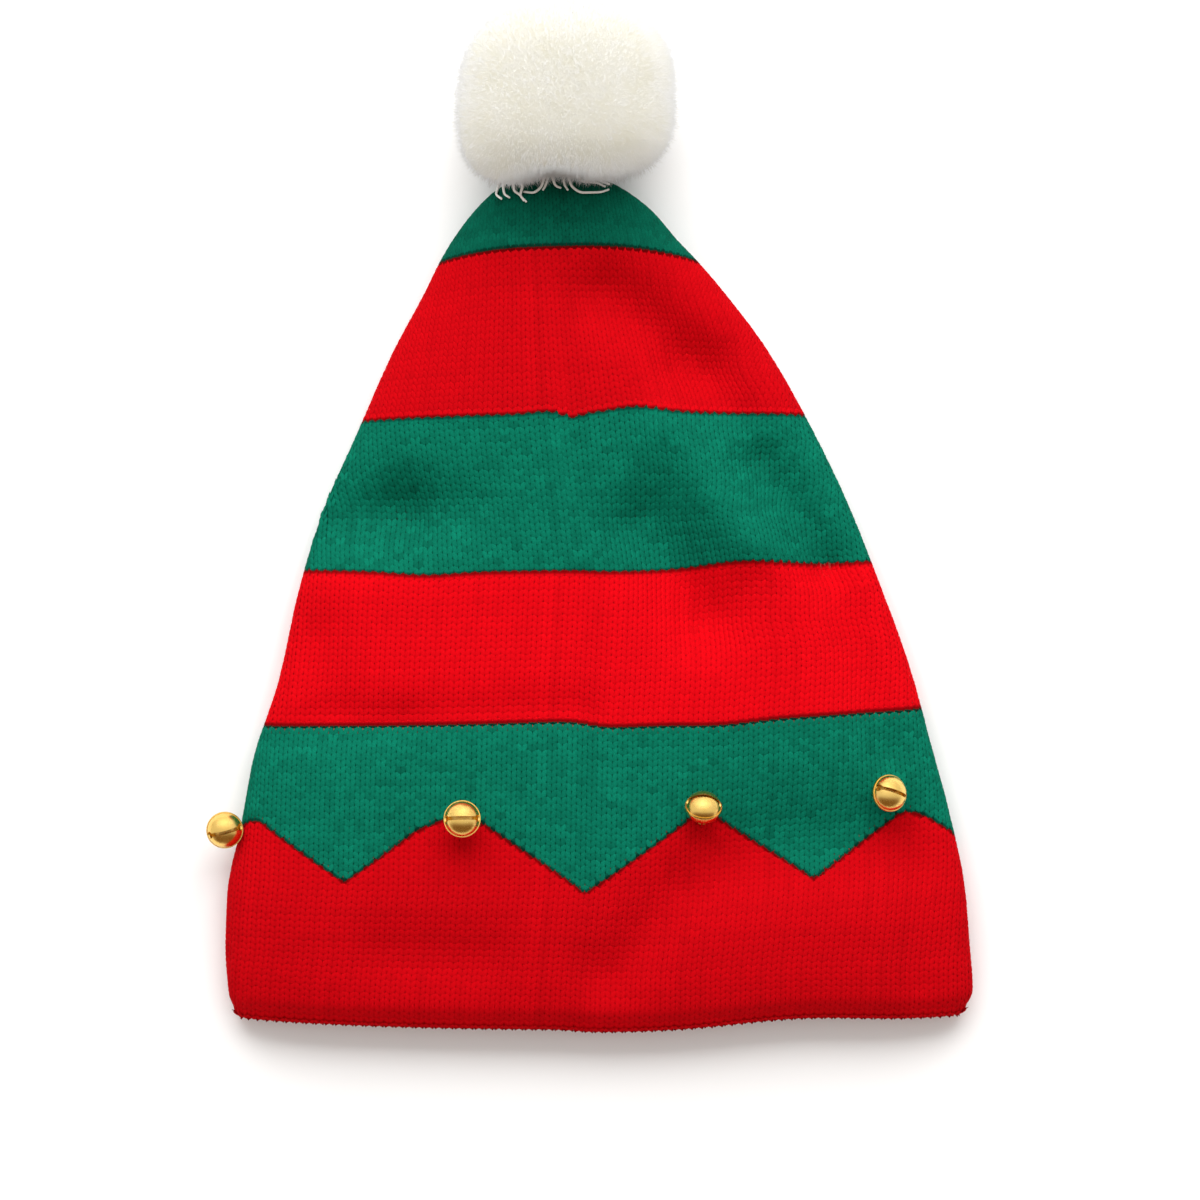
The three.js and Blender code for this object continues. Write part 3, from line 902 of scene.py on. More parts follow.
# %% Knit the stripes
CELL_FILL = 0.9
WHOLE_STITCH = 0.3
SOFTNESS = 0.55
FAR_INSIDE = -10.0


def finish_stitches(mesh, own_stripe):
    """Says how far each point is beyond its stripe and adds a flat map, each stitch in a cell of its own."""
    cell, leg = read_attribute(mesh, "cell", 3), read_attribute(mesh, "leg_spot", 3)
    course_number = cell[:, 1].round().astype(int)
    level = course_levels[course_number]
    wale = wale_at(level)
    beyond = np.full(len(level), FAR_INSIDE)
    if own_stripe >= 0:
        height = level + (1 - WHOLE_STITCH) * leg[:, 1] * COURSE
        aside = (1 - WHOLE_STITCH) * leg[:, 0] + WHOLE_STITCH * LEG_MIDDLE * np.sign(leg[:, 0])
        stripe, off = stripe_of(height, zigzag_height(cell[:, 0] + aside * wale, cell[:, 2]))
        beyond = np.where(stripe == own_stripe, -off, off)
    mesh.attributes.new("beyond", "FLOAT", "POINT").data.foreach_set("value", beyond.astype(np.float32))
    across = (cell[:, 0] + CELL_FILL * leg[:, 0] * wale) / widest + 0.5
    up = (course_number + CELL_FILL / 2 * leg[:, 1] + 0.5) / len(courses)
    add_flat_map(mesh, across, up)
    soften(mesh, read_attribute(mesh, "out", 3), SOFTNESS)
    press_on_floor(mesh)
    for name in ("cell", "leg_spot", "out", "up", "size"):
        mesh.attributes.remove(mesh.attributes[name])


def knit(name, own_stripe, yarn):
    """Knits the stitches of one stripe as one piece."""
    chosen = stitches["stripe"] == own_stripe
    mesh = bpy.data.meshes.new(name)
    mesh.from_pydata(to_frame(stitches["place"][chosen]).tolist(), [], [])
    for key_name, scale in (("out", 1), ("up", 1), ("size", MM), ("cell", 1)):
        layer = mesh.attributes.new(key_name, "FLOAT_VECTOR", "POINT")
        layer.data.foreach_set("vector", (stitches[key_name][chosen] * scale).astype(np.float32).ravel())
    layer = mesh.attributes.new("shade", "FLOAT", "POINT")
    layer.data.foreach_set("value", stitches["shade"][chosen].astype(np.float32))
    piece = new_object(name, mesh)
    modifier = piece.modifiers.new("knitting", "NODES")
    modifier.node_group = knit_tree
    modifier[knit_keys["Stitch"]] = v_stitch
    modifier[knit_keys["Yarn"]] = yarn
    finish_stitches(settle(piece), own_stripe)
    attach(piece, "root")
    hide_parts("knit_crown")
    print(name, "triangles:", len(piece.data.polygons))


STRIPE_NAMES = ("cuff_red", "lower_green", "lower_red", "middle_green", "upper_red", "tip_green")
for number, stripe_name in enumerate(STRIPE_NAMES):
    in_green = number in GREEN_STRIPES
    knit(f"stitches_{stripe_name}", number, green_yarn if in_green else red_yarn)
knit("stitches_hem_edge", -1, red_yarn)
bpy.data.objects.remove(v_stitch)

# %% [markdown]
# ## The pompom
# A pompom is a bundle of yarn tied in the middle and cut all round, so what shows is thousands of cut
# ends. A soft core fills the middle. Its form is a rounded block, because a pompom that is pressed in
# a parcel keeps something of its corners, and a few dents take the evenness away. Light goes a long way
# into cut yarn, and only the tight heart of the ball stops it, so the heart alone casts a shadow.

# %% Pompom form
POMPOM_MIDDLE = np.array([-11.5, 312.0, 27.0])
POMPOM_HALF = np.array([36.2, 29.5, 27.5])
POMPOM_ROUNDNESS = 2.6
FORM_SIDES, FORM_ROWS = 64, 40
# way from the middle, depth as a share of the radius, narrowness
POMPOM_DENTS = (
    ((-0.70, -0.71, 0.0), -0.15, 12.0),
    ((0.84, -0.54, 0.0), -0.06, 14.0),
    ((0.90, 0.44, 0.0), -0.03, 14.0),
    ((-0.90, 0.43, 0.0), 0.03, 14.0),
    ((-0.13, -1.0, 0.05), 0.19, 18.0),
    ((-0.55, -0.3, 0.75), -0.02, 12.0),
)


def pompom_reach(way):
    """How far the pompom goes out along unit ways from its middle."""
    reach = (np.abs(way / POMPOM_HALF) ** POMPOM_ROUNDNESS).sum(axis=-1) ** (-1 / POMPOM_ROUNDNESS)
    for dent_way, depth, narrowness in POMPOM_DENTS:
        nearness = way @ (np.array(dent_way) / np.linalg.norm(dent_way))
        reach = reach * (1 - depth * np.exp(narrowness * (nearness - 1)))
    return reach


def pompom_form(share):
    """A closed mesh of the pompom's form at a share of its size, and its points in hat millimetres."""
    turns = [2 * math.pi * k / FORM_SIDES for k in range(FORM_SIDES)]
    way = [(0.0, 0.0, 1.0)]
    for row in range(1, FORM_ROWS):
        down = math.pi * row / FORM_ROWS
        way += [(math.sin(down) * math.cos(a), math.sin(down) * math.sin(a), math.cos(down)) for a in turns]
    way.append((0.0, 0.0, -1.0))
    bottom = len(way) - 1
    lowest = bottom - FORM_SIDES
    faces = []
    for k in range(FORM_SIDES):
        after = (k + 1) % FORM_SIDES
        faces += [(0, 1 + k, 1 + after), (bottom, lowest + after, lowest + k)]
        for first in range(1, lowest, FORM_SIDES):
            below = first + FORM_SIDES
            faces.append((first + k, below + k, below + after, first + after))
    mesh = bpy.data.meshes.new("pompom_form")
    mesh.from_pydata(way, [], faces)
    way = np.array(way)
    return mesh, POMPOM_MIDDLE + way * pompom_reach(way)[:, None] * share


print("pompom from its middle to the right, mm:", pompom_reach(np.array([1.0, 0.0, 0.0])).round(1))


# %% White yarn
def white_yarn_material(name, colour, light, depth):
    """Off-white yarn of uneven tone. Depth is how much of the light goes into it."""
    made, tree, shader = new_material(name)
    fluff = noise_in_object(tree, 75.0, 4.0)
    tree.links.new(mixed_colour(tree, fluff, colour, light), shader.inputs["Base Color"])
    rough = add(tree, "ShaderNodeMapRange")
    rough.inputs["To Min"].default_value = 0.8
    rough.inputs["To Max"].default_value = 0.95
    tree.links.new(fluff, rough.inputs["Value"])
    tree.links.new(rough.outputs["Result"], shader.inputs["Roughness"])
    shader.inputs["Specular IOR Level"].default_value = 0.1
    shader.inputs["Subsurface Weight"].default_value = depth
    shader.inputs["Subsurface Radius"].default_value = (1.0, 0.95, 0.85)
    shader.inputs["Subsurface Scale"].default_value = 0.012
    return made


white_yarn = white_yarn_material("white_yarn", (0.55, 0.53, 0.42), (0.63, 0.62, 0.585), 0.9)
tie_yarn = white_yarn_material("tie_yarn", (0.72, 0.70, 0.66), (0.85, 0.83, 0.80), 0.0)
print("yarns:", white_yarn.name, tie_yarn.name)

# %% Core and heart
CORE_SHARE, HEART_SHARE = 0.965, 0.8
FLOOR_GAP = 0.25
FLUFF_SOFTNESS, FLUFF_UPWARD = 0.8, 3.0


def pompom_ball(name, share):
    """A smooth closed ball of the pompom's form, resting on the floor."""
    mesh, at = pompom_form(share)
    mesh.name = name
    at[:, 2] = np.maximum(at[:, 2], FLOOR_GAP)
    mesh.vertices.foreach_set("co", to_frame(at).ravel())
    shade_smooth(mesh)
    mesh.materials.append(white_yarn)
    mesh.update()
    piece = new_object(name, mesh)
    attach(piece, "root")
    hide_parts("pompom")
    print(name, "faces:", len(mesh.polygons))
    return piece


def light_through(piece):
    """Evens out the shading of a part of the pompom, as light that passes through the yarn does."""
    at = np.empty(len(piece.data.vertices) * 3)
    piece.data.vertices.foreach_get("co", at)
    off = (at.reshape(-1, 3) / MM - HAT_ORIGIN - POMPOM_MIDDLE) / POMPOM_HALF
    outward = unit(np.sign(off) * np.abs(off) ** (POMPOM_ROUNDNESS - 1) / POMPOM_HALF)
    soften(piece.data, unit(outward + (0.0, 0.0, FLUFF_UPWARD)), FLUFF_SOFTNESS)
    piece.visible_shadow = False


pompom_core = pompom_ball("pompom_core", CORE_SHARE)
light_through(pompom_core)
pompom_ball("pompom_heart", HEART_SHARE)

# %% [markdown]
# ## Cut ends
# A node tree plants bent strands of yarn over the core. They point outwards with some disorder, and a
# last step presses whatever would go through the floor flat against it. None are planted where the tip
# of the hat goes into the ball. The tree is used twice: once for the yarn itself and once for the finer
# fluff that stands off every cut end and makes the ball look soft.

# %% Strands
STRAND_LENGTH = 5.0
STRAND_RADIUS = 0.11
STRAND_BENDS = ((0.9, 0.3), (-0.6, 1.0), (0.4, -1.3), (1.3, 0.7))
STRAND_RINGS = (0.0, 0.55)
RING_CORNERS = 3
STRAND_POINTS = RING_CORNERS * len(STRAND_RINGS) + 1

strand_set = bpy.data.collections.new("strand_set")
bpy.context.scene.collection.children.link(strand_set)
for number, (first_bend, last_bend) in enumerate(STRAND_BENDS):
    strand_points, strand_faces = [], [(2, 1, 0)]
    for share in STRAND_RINGS:
        sway = first_bend * share * (1 - share) * 2 + last_bend * share ** 2
        for corner in range(RING_CORNERS):
            a = 2 * math.pi * corner / RING_CORNERS
            strand_points.append((sway + STRAND_RADIUS * math.cos(a), STRAND_RADIUS * math.sin(a),
                                  share * STRAND_LENGTH))
    strand_points.append((last_bend, 0.0, STRAND_LENGTH))
    tip_point = STRAND_POINTS - 1
    for a, b in ((0, 1), (1, 2), (2, 0)):
        high_a, high_b = a + RING_CORNERS, b + RING_CORNERS
        strand_faces += [(a, b, high_b), (a, high_b, high_a), (high_a, high_b, tip_point)]
    strand_mesh = bpy.data.meshes.new(f"strand_{number}")
    strand_mesh.from_pydata(strand_points, [], strand_faces)
    shade_smooth(strand_mesh)
    strand_set.objects.link(bpy.data.objects.new(f"strand_{number}", strand_mesh))

# %% Strand tree
FIRST_SEED = 11

strand_tree, given, result, strand_keys = new_tree("pompom_strands", [
    ("Form", "NodeSocketGeometry", None),
    ("Strands", "NodeSocketCollection", None),
    ("Density", "NodeSocketFloat", 1.0),
    ("Disorder", "NodeSocketFloat", 0.3),
    ("Thickness", "NodeSocketFloat", MM),
    ("Shortest", "NodeSocketFloat", 0.8 * MM),
    ("Longest", "NodeSocketFloat", MM),
    ("Floor", "NodeSocketFloat", FLOOR_GAP * MM),
    ("Seed", "NodeSocketInt", 7),
    ("Yarn", "NodeSocketMaterial", None),
])
share_here = add(strand_tree, "ShaderNodeMath", operation="MULTIPLY")
scattered = add(strand_tree, "GeometryNodeDistributePointsOnFaces", distribute_method="RANDOM")
choices = add(strand_tree, "GeometryNodeCollectionInfo")
choices.inputs["Separate Children"].default_value = True
choices.inputs["Reset Children"].default_value = True
astray = add(strand_tree, "FunctionNodeRandomValue", data_type="FLOAT_VECTOR")
astray.inputs[0].default_value = (-1.0, -1.0, -1.0)
astray.inputs[1].default_value = (1.0, 1.0, 1.0)
astray_scaled = add(strand_tree, "ShaderNodeVectorMath", operation="SCALE")
way_out = add(strand_tree, "ShaderNodeVectorMath", operation="ADD")
aimed = add(strand_tree, "FunctionNodeAlignRotationToVector", axis="Z")
spin = add(strand_tree, "FunctionNodeRandomValue", data_type="FLOAT")
spin.inputs[3].default_value = 2 * math.pi
spin_angles = add(strand_tree, "ShaderNodeCombineXYZ")
spun = add(strand_tree, "FunctionNodeRotateRotation", rotation_space="LOCAL")
length = add(strand_tree, "FunctionNodeRandomValue", data_type="FLOAT")
strand_size = add(strand_tree, "ShaderNodeCombineXYZ")
planted = add(strand_tree, "GeometryNodeInstanceOnPoints")
planted.inputs["Pick Instance"].default_value = True
real = add(strand_tree, "GeometryNodeRealizeInstances")
here = add(strand_tree, "GeometryNodeInputPosition")
parts = add(strand_tree, "ShaderNodeSeparateXYZ")
lifted = add(strand_tree, "ShaderNodeMath", operation="MAXIMUM")
pressed = add(strand_tree, "ShaderNodeCombineXYZ")
laid = add(strand_tree, "GeometryNodeSetPosition")
dyed = add(strand_tree, "GeometryNodeSetMaterial")
for start, end in (
    (given.outputs["Density"], share_here.inputs[0]),
    (attribute(strand_tree, "open_share", "FLOAT"), share_here.inputs[1]),
    (given.outputs["Form"], scattered.inputs["Mesh"]),
    (share_here.outputs["Value"], scattered.inputs["Density"]),
    (given.outputs["Seed"], scattered.inputs["Seed"]),
    (given.outputs["Strands"], choices.inputs["Collection"]),
    (given.outputs["Disorder"], astray_scaled.inputs["Scale"]),
    (astray.outputs[0], astray_scaled.inputs["Vector"]),
    (scattered.outputs["Normal"], way_out.inputs[0]),
    (astray_scaled.outputs["Vector"], way_out.inputs[1]),
    (way_out.outputs["Vector"], aimed.inputs["Vector"]),
    (spin.outputs[1], spin_angles.inputs["Z"]),
    (aimed.outputs["Rotation"], spun.inputs["Rotation"]),
    (spin_angles.outputs["Vector"], spun.inputs["Rotate By"]),
    (given.outputs["Shortest"], length.inputs[2]),
    (given.outputs["Longest"], length.inputs[3]),
    (given.outputs["Thickness"], strand_size.inputs["X"]),
    (given.outputs["Thickness"], strand_size.inputs["Y"]),
    (length.outputs[1], strand_size.inputs["Z"]),
    (scattered.outputs["Points"], planted.inputs["Points"]),
    (choices.outputs["Instances"], planted.inputs["Instance"]),
    (spun.outputs["Rotation"], planted.inputs["Rotation"]),
    (strand_size.outputs["Vector"], planted.inputs["Scale"]),
    (planted.outputs["Instances"], real.inputs["Geometry"]),
    (here.outputs["Position"], parts.inputs["Vector"]),
    (parts.outputs["X"], pressed.inputs["X"]),
    (parts.outputs["Y"], pressed.inputs["Y"]),
    (parts.outputs["Z"], lifted.inputs[0]),
    (given.outputs["Floor"], lifted.inputs[1]),
    (lifted.outputs["Value"], pressed.inputs["Z"]),
    (real.outputs["Geometry"], laid.inputs["Geometry"]),
    (pressed.outputs["Vector"], laid.inputs["Position"]),
    (laid.outputs["Geometry"], dyed.inputs["Geometry"]),
    (given.outputs["Yarn"], dyed.inputs["Material"]),
    (dyed.outputs["Geometry"], result.inputs[0]),
):
    strand_tree.links.new(start, end)
for number, random_node in enumerate((astray, spin, length)):
    random_node.inputs["Seed"].default_value = FIRST_SEED + number
print("strand tree nodes:", len(strand_tree.nodes))

# %% Plant the strands
ROOT_SHARE = 0.9
TIP_BOX_LOW = np.array([-44.0, 270.0, -5.0])
TIP_BOX_HIGH = np.array([16.0, 290.0, 15.0])
STRANDS_IN_ROW = 150
STAR_REACH = np.array([0.45, 0.25, 0.0])


def lay_strands_flat(mesh):
    """Adds a flat map on which each strand is a small star in a cell of its own."""
    index = np.arange(len(mesh.vertices))
    strand, point = index // STRAND_POINTS, index % STRAND_POINTS
    reach = STAR_REACH[point // RING_CORNERS]
    angle = 2 * math.pi * (point % RING_CORNERS) / RING_CORNERS
    rows = strand.max() // STRANDS_IN_ROW + 1
    across = (strand % STRANDS_IN_ROW + 0.5 + reach * np.cos(angle)) / STRANDS_IN_ROW
    up = (strand // STRANDS_IN_ROW + 0.5 + reach * np.sin(angle)) / rows
    add_flat_map(mesh, across, up)


def plant(name, count, disorder, thickness, lengths, seed):
    """Plants strands on the pompom as one piece."""
    mesh, at = pompom_form(ROOT_SHARE)
    mesh.vertices.foreach_set("co", to_frame(at).ravel())
    mesh.update()
    in_tip = ((at > TIP_BOX_LOW) & (at < TIP_BOX_HIGH)).all(axis=1)
    mesh.attributes.new("open_share", "FLOAT", "POINT").data.foreach_set(
        "value", (~in_tip).astype(np.float32))
    area = sum(face.area for face in mesh.polygons)
    piece = new_object(name, mesh)
    modifier = piece.modifiers.new("strands", "NODES")
    modifier.node_group = strand_tree
    modifier[strand_keys["Strands"]] = strand_set
    modifier[strand_keys["Density"]] = count / area
    modifier[strand_keys["Disorder"]] = disorder
    modifier[strand_keys["Thickness"]] = thickness * MM
    modifier[strand_keys["Shortest"]] = lengths[0] * MM
    modifier[strand_keys["Longest"]] = lengths[1] * MM
    modifier[strand_keys["Floor"]] = FLOOR_GAP * MM
    modifier[strand_keys["Seed"]] = seed
    modifier[strand_keys["Yarn"]] = white_yarn
    plain = settle(piece)
    lay_strands_flat(plain)
    light_through(piece)
    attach(piece, "root")
    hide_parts("pompom")
    print(name, "triangles:", len(piece.data.polygons))


plant("pompom_yarn", 19000, 0.45, 1.0, (0.7, 0.95), 7)
plant("pompom_fluff", 15000, 0.75, 0.6, (0.7, 1.3), 8)
for strand in list(strand_set.objects):
    bpy.data.objects.remove(strand)
bpy.data.collections.remove(strand_set)

# %% [markdown]
# ## Threads
# A few ends of the yarn that ties the pompom on hang over the tip of the hat, and red thread holds each
# bell. They are too short to be cords of their own. A thread is a thin tube along a smooth path.

# %% Tubes
SETTLING = 6
ASKEW = (0.31, 0.52, 0.79)
HAT_TO_FRAME = Matrix.Diagonal((MM, MM, MM, 1)) @ Matrix.Translation(HAT_ORIGIN)


def front_height(x, y):
    """Height of the front at a place, found by settling on the section that passes there."""
    side_y, u = float(y), 0.0
    for _ in range(SETTLING):
        rise, left, right = section_at(np.clip(side_y, SIDE_Y[0], SIDE_Y[-1]))[:3]
        u = (2 * x - left - right) / (right - left)
        side_y = y - rise * (1 - u ** 2)
    height, square = section_at(np.clip(side_y, SIDE_Y[0], SIDE_Y[-1]))[3:]
    flat = math.sqrt(max(0.0, 1 - abs(u) ** square))
    fold_z = FOLD_SHARE * height
    return fold_z + (height - fold_z + float(fold_lift(np.float64(x), np.float64(y)))) * flat


def tube(points, radius, sides, name):
    """A closed round tube along points. The radius may change from point to point."""
    path = np.asarray(points, dtype=float)
    radii = np.broadcast_to(radius, len(path))
    ways = unit(np.gradient(path, axis=0))
    side = np.cross(ways[0], ASKEW)
    tube_points, tube_faces = [], []
    for at, way, r in zip(path, ways, radii):
        side = side - way * np.dot(side, way)
        side = side / np.linalg.norm(side)
        other = np.cross(way, side)
        for k in range(sides):
            a = 2 * math.pi * k / sides
            tube_points.append(at + r * (math.cos(a) * side + math.sin(a) * other))
    for row in range(len(path) - 1):
        for k in range(sides):
            a, b = row * sides + k, row * sides + (k + 1) % sides
            tube_faces.append((a, b, b + sides, a + sides))
    tube_faces.append(tuple(range(sides))[::-1])
    tube_faces.append(tuple(range((len(path) - 1) * sides, len(path) * sides)))
    mesh = bpy.data.meshes.new(name)
    mesh.from_pydata([tuple(p) for p in tube_points], [], tube_faces)
    shade_smooth(mesh)
    return mesh


def joined(name, meshes):
    """Several meshes as one."""
    made = bmesh.new()
    for mesh in meshes:
        made.from_mesh(mesh)
        bpy.data.meshes.remove(mesh)
    mesh = bpy.data.meshes.new(name)
    made.to_mesh(mesh)
    made.free()
    return mesh


def smooth_path(points, steps):
    """A smooth path through points."""
    knots = np.asarray(points, dtype=float)
    places = np.arange(len(knots), dtype=float)
    at = np.linspace(0, len(knots) - 1, steps * (len(knots) - 1) + 1)
    return np.stack([smooth_through(places, knots[:, k], at) for k in range(3)], axis=1)


print("height of the cloth in the middle of the front:", round(front_height(0.0, 130.0), 1))

# %% Loose ends of the tie
END_RADIUS, END_SIDES, END_STEPS = 0.52, 6, 5
END_TAPER, END_GAP = 0.7, 0.5
FIRST_HEIGHT = 19.0
# places that each end lies over, from the pompom outwards
TIE_ENDS = (
    ((-32.4, 286), (-34.1, 283.2), (-34.8, 280.2), (-32.9, 278.2)),
    ((-31.0, 286), (-32.4, 282.5), (-32.0, 280.0), (-30.2, 278.6)),
    ((-29.2, 285.5), (-28.8, 281.2), (-26.8, 279.4), (-25.4, 277.4)),
    ((-28.0, 284.5), (-26.0, 282.3), (-26.6, 279.6), (-24.6, 277.0)),
    ((-18.6, 286.0), (-19.6, 282.4), (-22.6, 280.2), (-25.6, 280.6)),
    ((-17.2, 286.0), (-18.2, 282.8), (-19.2, 281.0)),
    ((-16.2, 286.0), (-14.8, 282.6), (-13.0, 281.8)),
    ((-12.4, 287.0), (-12.0, 283.4), (-10.7, 281.0)),
    ((-10.7, 287.0), (-9.7, 282.8), (-5.7, 280.2), (-0.3, 280.4), (3.0, 281.5)),
    ((-9.0, 287.0), (-5.7, 284.0), (-1.7, 283.8), (1.9, 282.4)),
    ((-3.0, 286.5), (0.3, 284.3), (3.2, 283.4)),
)
end_meshes = []
for places in TIE_ENDS:
    knots = []
    for k, (x, y) in enumerate(places):
        over_cloth = front_height(x, y) + END_GAP + END_RADIUS
        droop = (1 - k / (len(places) - 1)) ** 2
        knots.append((x, y, over_cloth + max(0.0, FIRST_HEIGHT - over_cloth) * droop))
    path = smooth_path(knots, END_STEPS)
    radii = np.linspace(END_RADIUS, END_TAPER * END_RADIUS, len(path))
    end_meshes.append(tube(path, radii, END_SIDES, "end"))
ends_mesh = joined("pompom_tie_ends", end_meshes)
ends_mesh.transform(HAT_TO_FRAME)
ends_mesh.materials.append(tie_yarn)
tie_ends = new_object("pompom_tie_ends", ends_mesh)
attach(tie_ends, "root")
print("loose ends:", len(end_meshes))

# %% [markdown]
# ## The bells
# A jingle bell is pressed from two thin brass cups closed on a raised band. The lower cup has a slit with
# a round hole at each end, and a wire loop stands on the upper one. The cups are turned profiles, the
# slit is cut with Boolean modifiers, and the loop is a short tube. All four are alike and differ only in
# the way they lie.

# %% Bell shape
BELL_RADIUS, BELL_HALF_HEIGHT, BELL_WALL = 5.9, 5.0, 0.5
BAND_RADIUS, BAND_HEIGHT, BAND_ROUNDING = 6.2, 1.1, 0.12
SLIT_WIDTH, SLIT_TOP, HOLE_RADIUS = 1.2, -2.1, 1.2
LOOP_RADIUS, WIRE_RADIUS, LOOP_DEPTH, LOOP_LEG = 1.4, 0.4, 0.6, 0.7
BELL_SIDES, HOLE_SIDES, WIRE_SIDES = 56, 24, 10
ARC_STEPS, LOOP_STEPS = 12, 12
NEAR_AXIS = 1e-6


def dome_arc(radius, half_height, lowest):
    """Half an outline of a dome, from its pole down to the band."""
    angles = np.linspace(math.pi / 2, math.asin(lowest / half_height), ARC_STEPS + 1)
    return [(radius * math.cos(a), half_height * math.sin(a)) for a in angles]


def object_of(name, made):
    """An object of a finished bmesh, which is freed."""
    mesh = bpy.data.meshes.new(name)
    made.to_mesh(mesh)
    made.free()
    return new_object(name, mesh)


def turned_solid(name, upper_half):
    """A closed solid turned round Z from half an outline and its mirror image below."""
    outline_points = upper_half + [(r, -z) for r, z in upper_half[::-1]]
    made = bmesh.new()
    rows = []
    for r, z in outline_points:
        if r < NEAR_AXIS:
            rows.append([made.verts.new((0, 0, z))])
        else:
            turns = [2 * math.pi * k / BELL_SIDES for k in range(BELL_SIDES)]
            rows.append([made.verts.new((r * math.cos(a), r * math.sin(a), z)) for a in turns])
    for upper, lower in zip(rows, rows[1:]):
        for k in range(BELL_SIDES):
            ring_of = [upper[k % len(upper)], upper[(k + 1) % len(upper)],
                       lower[(k + 1) % len(lower)], lower[k % len(lower)]]
            made.faces.new(list(dict.fromkeys(ring_of)))
    bmesh.ops.recalc_face_normals(made, faces=made.faces)
    return object_of(name, made)


def cut(body, tool):
    """Cuts a tool out of a body."""
    boolean = body.modifiers.new("cut", "BOOLEAN")
    boolean.operation = "DIFFERENCE"
    boolean.solver = "EXACT"
    boolean.object = tool
    settle(body)
    bpy.data.objects.remove(tool)


print("bell across its band, mm:", 2 * BAND_RADIUS)

# %% Cut the bell
half_band = BAND_HEIGHT / 2
band = [(BAND_RADIUS - BAND_ROUNDING, half_band), (BAND_RADIUS, half_band / 2)]
bell_body = turned_solid("bell_body", dome_arc(BELL_RADIUS, BELL_HALF_HEIGHT, half_band) + band)
inside = dome_arc(BELL_RADIUS - BELL_WALL, BELL_HALF_HEIGHT - BELL_WALL, half_band)
cut(bell_body, turned_solid("bell_inside", inside))

slit_tool = bmesh.new()
slit_length = 2.2 * BELL_RADIUS
slit_size = Matrix.Diagonal((slit_length, SLIT_WIDTH, 2 * BELL_HALF_HEIGHT, 1))
slit_place = Matrix.Translation((0, 0, SLIT_TOP - BELL_HALF_HEIGHT))
bmesh.ops.create_cube(slit_tool, size=1.0, matrix=slit_place @ slit_size)
cut(bell_body, object_of("slit_tool", slit_tool))

hole_tool = bmesh.new()
hole_place = Matrix.Translation((0, 0, SLIT_TOP)) @ Matrix.Rotation(math.pi / 2, 4, "Y")
bmesh.ops.create_cone(hole_tool, cap_ends=True, segments=HOLE_SIDES, radius1=HOLE_RADIUS,
                      radius2=HOLE_RADIUS, depth=4 * BELL_RADIUS, matrix=hole_place)
cut(bell_body, object_of("hole_tool", hole_tool))

foot = BELL_HALF_HEIGHT - LOOP_DEPTH
arch = [(-LOOP_RADIUS, 0, foot), (-LOOP_RADIUS, 0, foot + LOOP_LEG)]
arch += [(-LOOP_RADIUS * math.cos(a), 0, foot + LOOP_RADIUS * (1 + math.sin(a)))
         for a in np.linspace(0, math.pi, LOOP_STEPS + 1)]
arch += [(LOOP_RADIUS, 0, foot + LOOP_LEG), (LOOP_RADIUS, 0, foot)]
bell_mesh = joined("bell_shape", [bell_body.data.copy(), tube(arch, WIRE_RADIUS, WIRE_SIDES, "loop")])
bpy.data.objects.remove(bell_body)
print("bell faces:", len(bell_mesh.polygons))

# %% [markdown]
# Polished brass shows its surroundings more than itself, so its material is simple: a warm metal whose
# polish is a little uneven, with faint handling marks in the bump.

# %% Brass
BRASS, BRASS_LIGHT = (0.88, 0.54, 0.12), (1.0, 0.71, 0.23)

brass, tree, shader = new_material("polished_brass")
tarnish = noise_in_object(tree, 260.0, 5.0)
tree.links.new(mixed_colour(tree, tarnish, BRASS, BRASS_LIGHT), shader.inputs["Base Color"])
polish = add(tree, "ShaderNodeMapRange")
polish.inputs["To Min"].default_value = 0.2
polish.inputs["To Max"].default_value = 0.34
tree.links.new(tarnish, polish.inputs["Value"])
tree.links.new(polish.outputs["Result"], shader.inputs["Roughness"])
add_bump(tree, shader, tarnish, 0.06, 0.2 * MM)
shader.inputs["Metallic"].default_value = 1.0
print("brass ready")

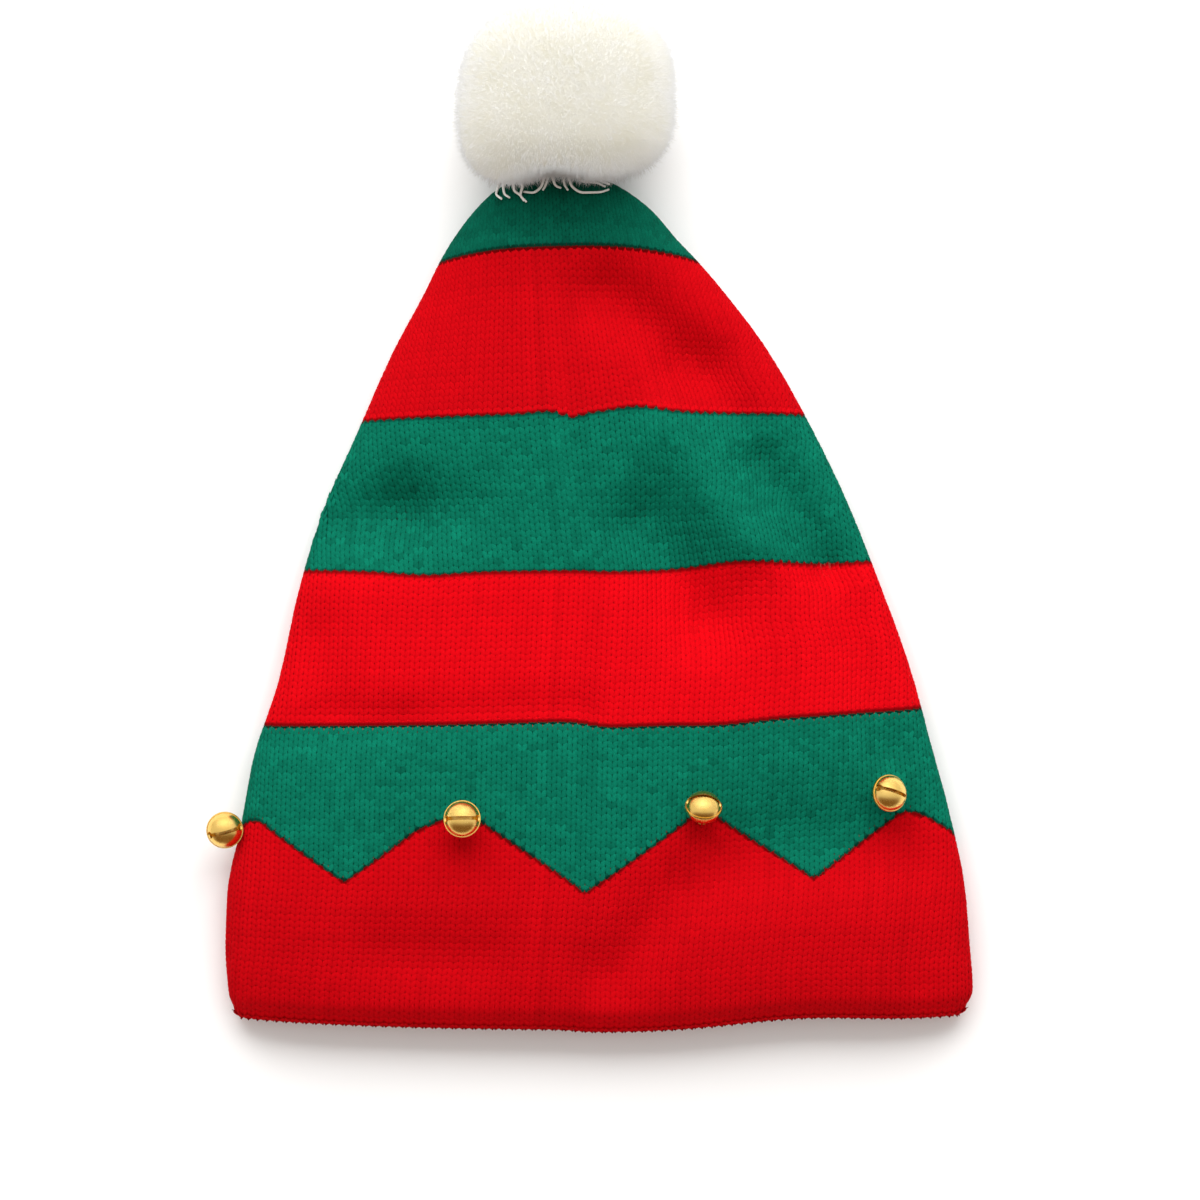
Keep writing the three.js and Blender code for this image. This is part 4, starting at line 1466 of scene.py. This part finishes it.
# %% Place the bells
# name, x, y, what the height is counted from, height, way of the mouth, way of the slit
BELLS = (
    ("bell_1", -125.6, 66.9, "floor", 17.0, (0.15, -0.1, 0.98), (1, 0.25, 0)),
    ("bell_2", -45.4, 71.8, "cloth", 8.4, (0, 0.13, 0.99), (1, 0.02, 0)),
    ("bell_3", 34.2, 75.4, "cloth", 6.4, (0.05, 0.8, 0.6), (1, 0, 0.1)),
    ("bell_4", 95.9, 79.9, "cloth", 7.9, (0.38, 0.15, 0.91), (1, -0.27, 0)),
)
SHARP_DEGREES = 35
eye_height = foot + 1.5 * LOOP_RADIUS
loops = []
for name, x, y, over, height, mouth, slit_way in BELLS:
    axis = -Vector(mouth).normalized()
    along = Vector(slit_way)
    along = (along - axis * along.dot(axis)).normalized()
    across = axis.cross(along)
    turn = Matrix((along, across, axis)).transposed()
    z = height + (front_height(x, y) if over == "cloth" else 0.0)
    middle = Vector((x, y, z))
    mesh = bell_mesh.copy()
    mesh.name = name + "_brass"
    spots = np.array([turn @ v.co + middle for v in bell_mesh.vertices])
    mesh.vertices.foreach_set("co", to_frame(spots).ravel())
    smooth = [len(face.vertices) <= 4 for face in mesh.polygons]
    mesh.polygons.foreach_set("use_smooth", smooth)
    mesh.update()
    mesh.set_sharp_from_angle(angle=math.radians(SHARP_DEGREES))
    mesh.materials.append(brass)
    bell = new_object(name + "_brass", mesh)
    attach(bell, "root")
    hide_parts(name)
    loops.append((np.array(middle + axis * eye_height), np.array(axis), np.array(across)))
    cad_middle = (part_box(name)[0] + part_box(name)[1]) / 2
    own_middle = (to_frame(spots).min(axis=0) + to_frame(spots).max(axis=0)) / 2
    print(name, "off its CAD place by mm:", round((Vector(own_middle) - cad_middle).length / MM, 2))
bpy.data.meshes.remove(bell_mesh)

# %% Threads of the bells
THREAD_RADIUS, THREAD_SIDES, THREAD_STEPS = 0.32, 6, 4
THREAD_SPREAD, THREAD_AHEAD = 0.9, 1.6
THREAD_TURNS = (0.6, 1.0)
THREAD_SUNK, THREAD_BOW = 0.4, 0.35
THREAD_SHADE = 0.85
FROM_FOLD = 0.7

thread_meshes = []
for eye, axis, across in loops:
    for turn_out in THREAD_TURNS:
        ends = []
        for way in (-1, 1):
            x, y = eye[:2] + THREAD_AHEAD * turn_out * axis[:2] + way * THREAD_SPREAD * across[:2]
            x = max(x, section_at(y)[1] + FROM_FOLD)
            ends.append(np.array([x, y, front_height(x, y) - THREAD_SUNK]))
        reach = [eye + way * THREAD_SPREAD * turn_out * across for way in (-1, 1)]
        knots = [ends[0], (ends[0] + reach[0]) / 2, reach[0], eye + THREAD_BOW * axis, reach[1],
                 (ends[1] + reach[1]) / 2, ends[1]]
        path = smooth_path(knots, THREAD_STEPS)
        thread_meshes.append(tube(path, THREAD_RADIUS, THREAD_SIDES, "thread"))
threads_mesh = joined("bell_threads", thread_meshes)
threads_mesh.transform(HAT_TO_FRAME)
for label, value in (("shade", THREAD_SHADE), ("beyond", FAR_INSIDE)):
    layer = threads_mesh.attributes.new(label, "FLOAT", "POINT")
    layer.data.foreach_set("value", np.full(len(threads_mesh.vertices), value, dtype=np.float32))
threads_mesh.materials.append(red_yarn)
bell_threads = new_object("bell_threads", threads_mesh)
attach(bell_threads, "root")
print("threads:", len(thread_meshes))

# %% Size and end
triangles = sum(len(face.vertices) - 2 for piece in bpy.context.scene.objects if piece.type == "MESH"
                for face in piece.data.polygons)
print("triangles in all:", triangles)
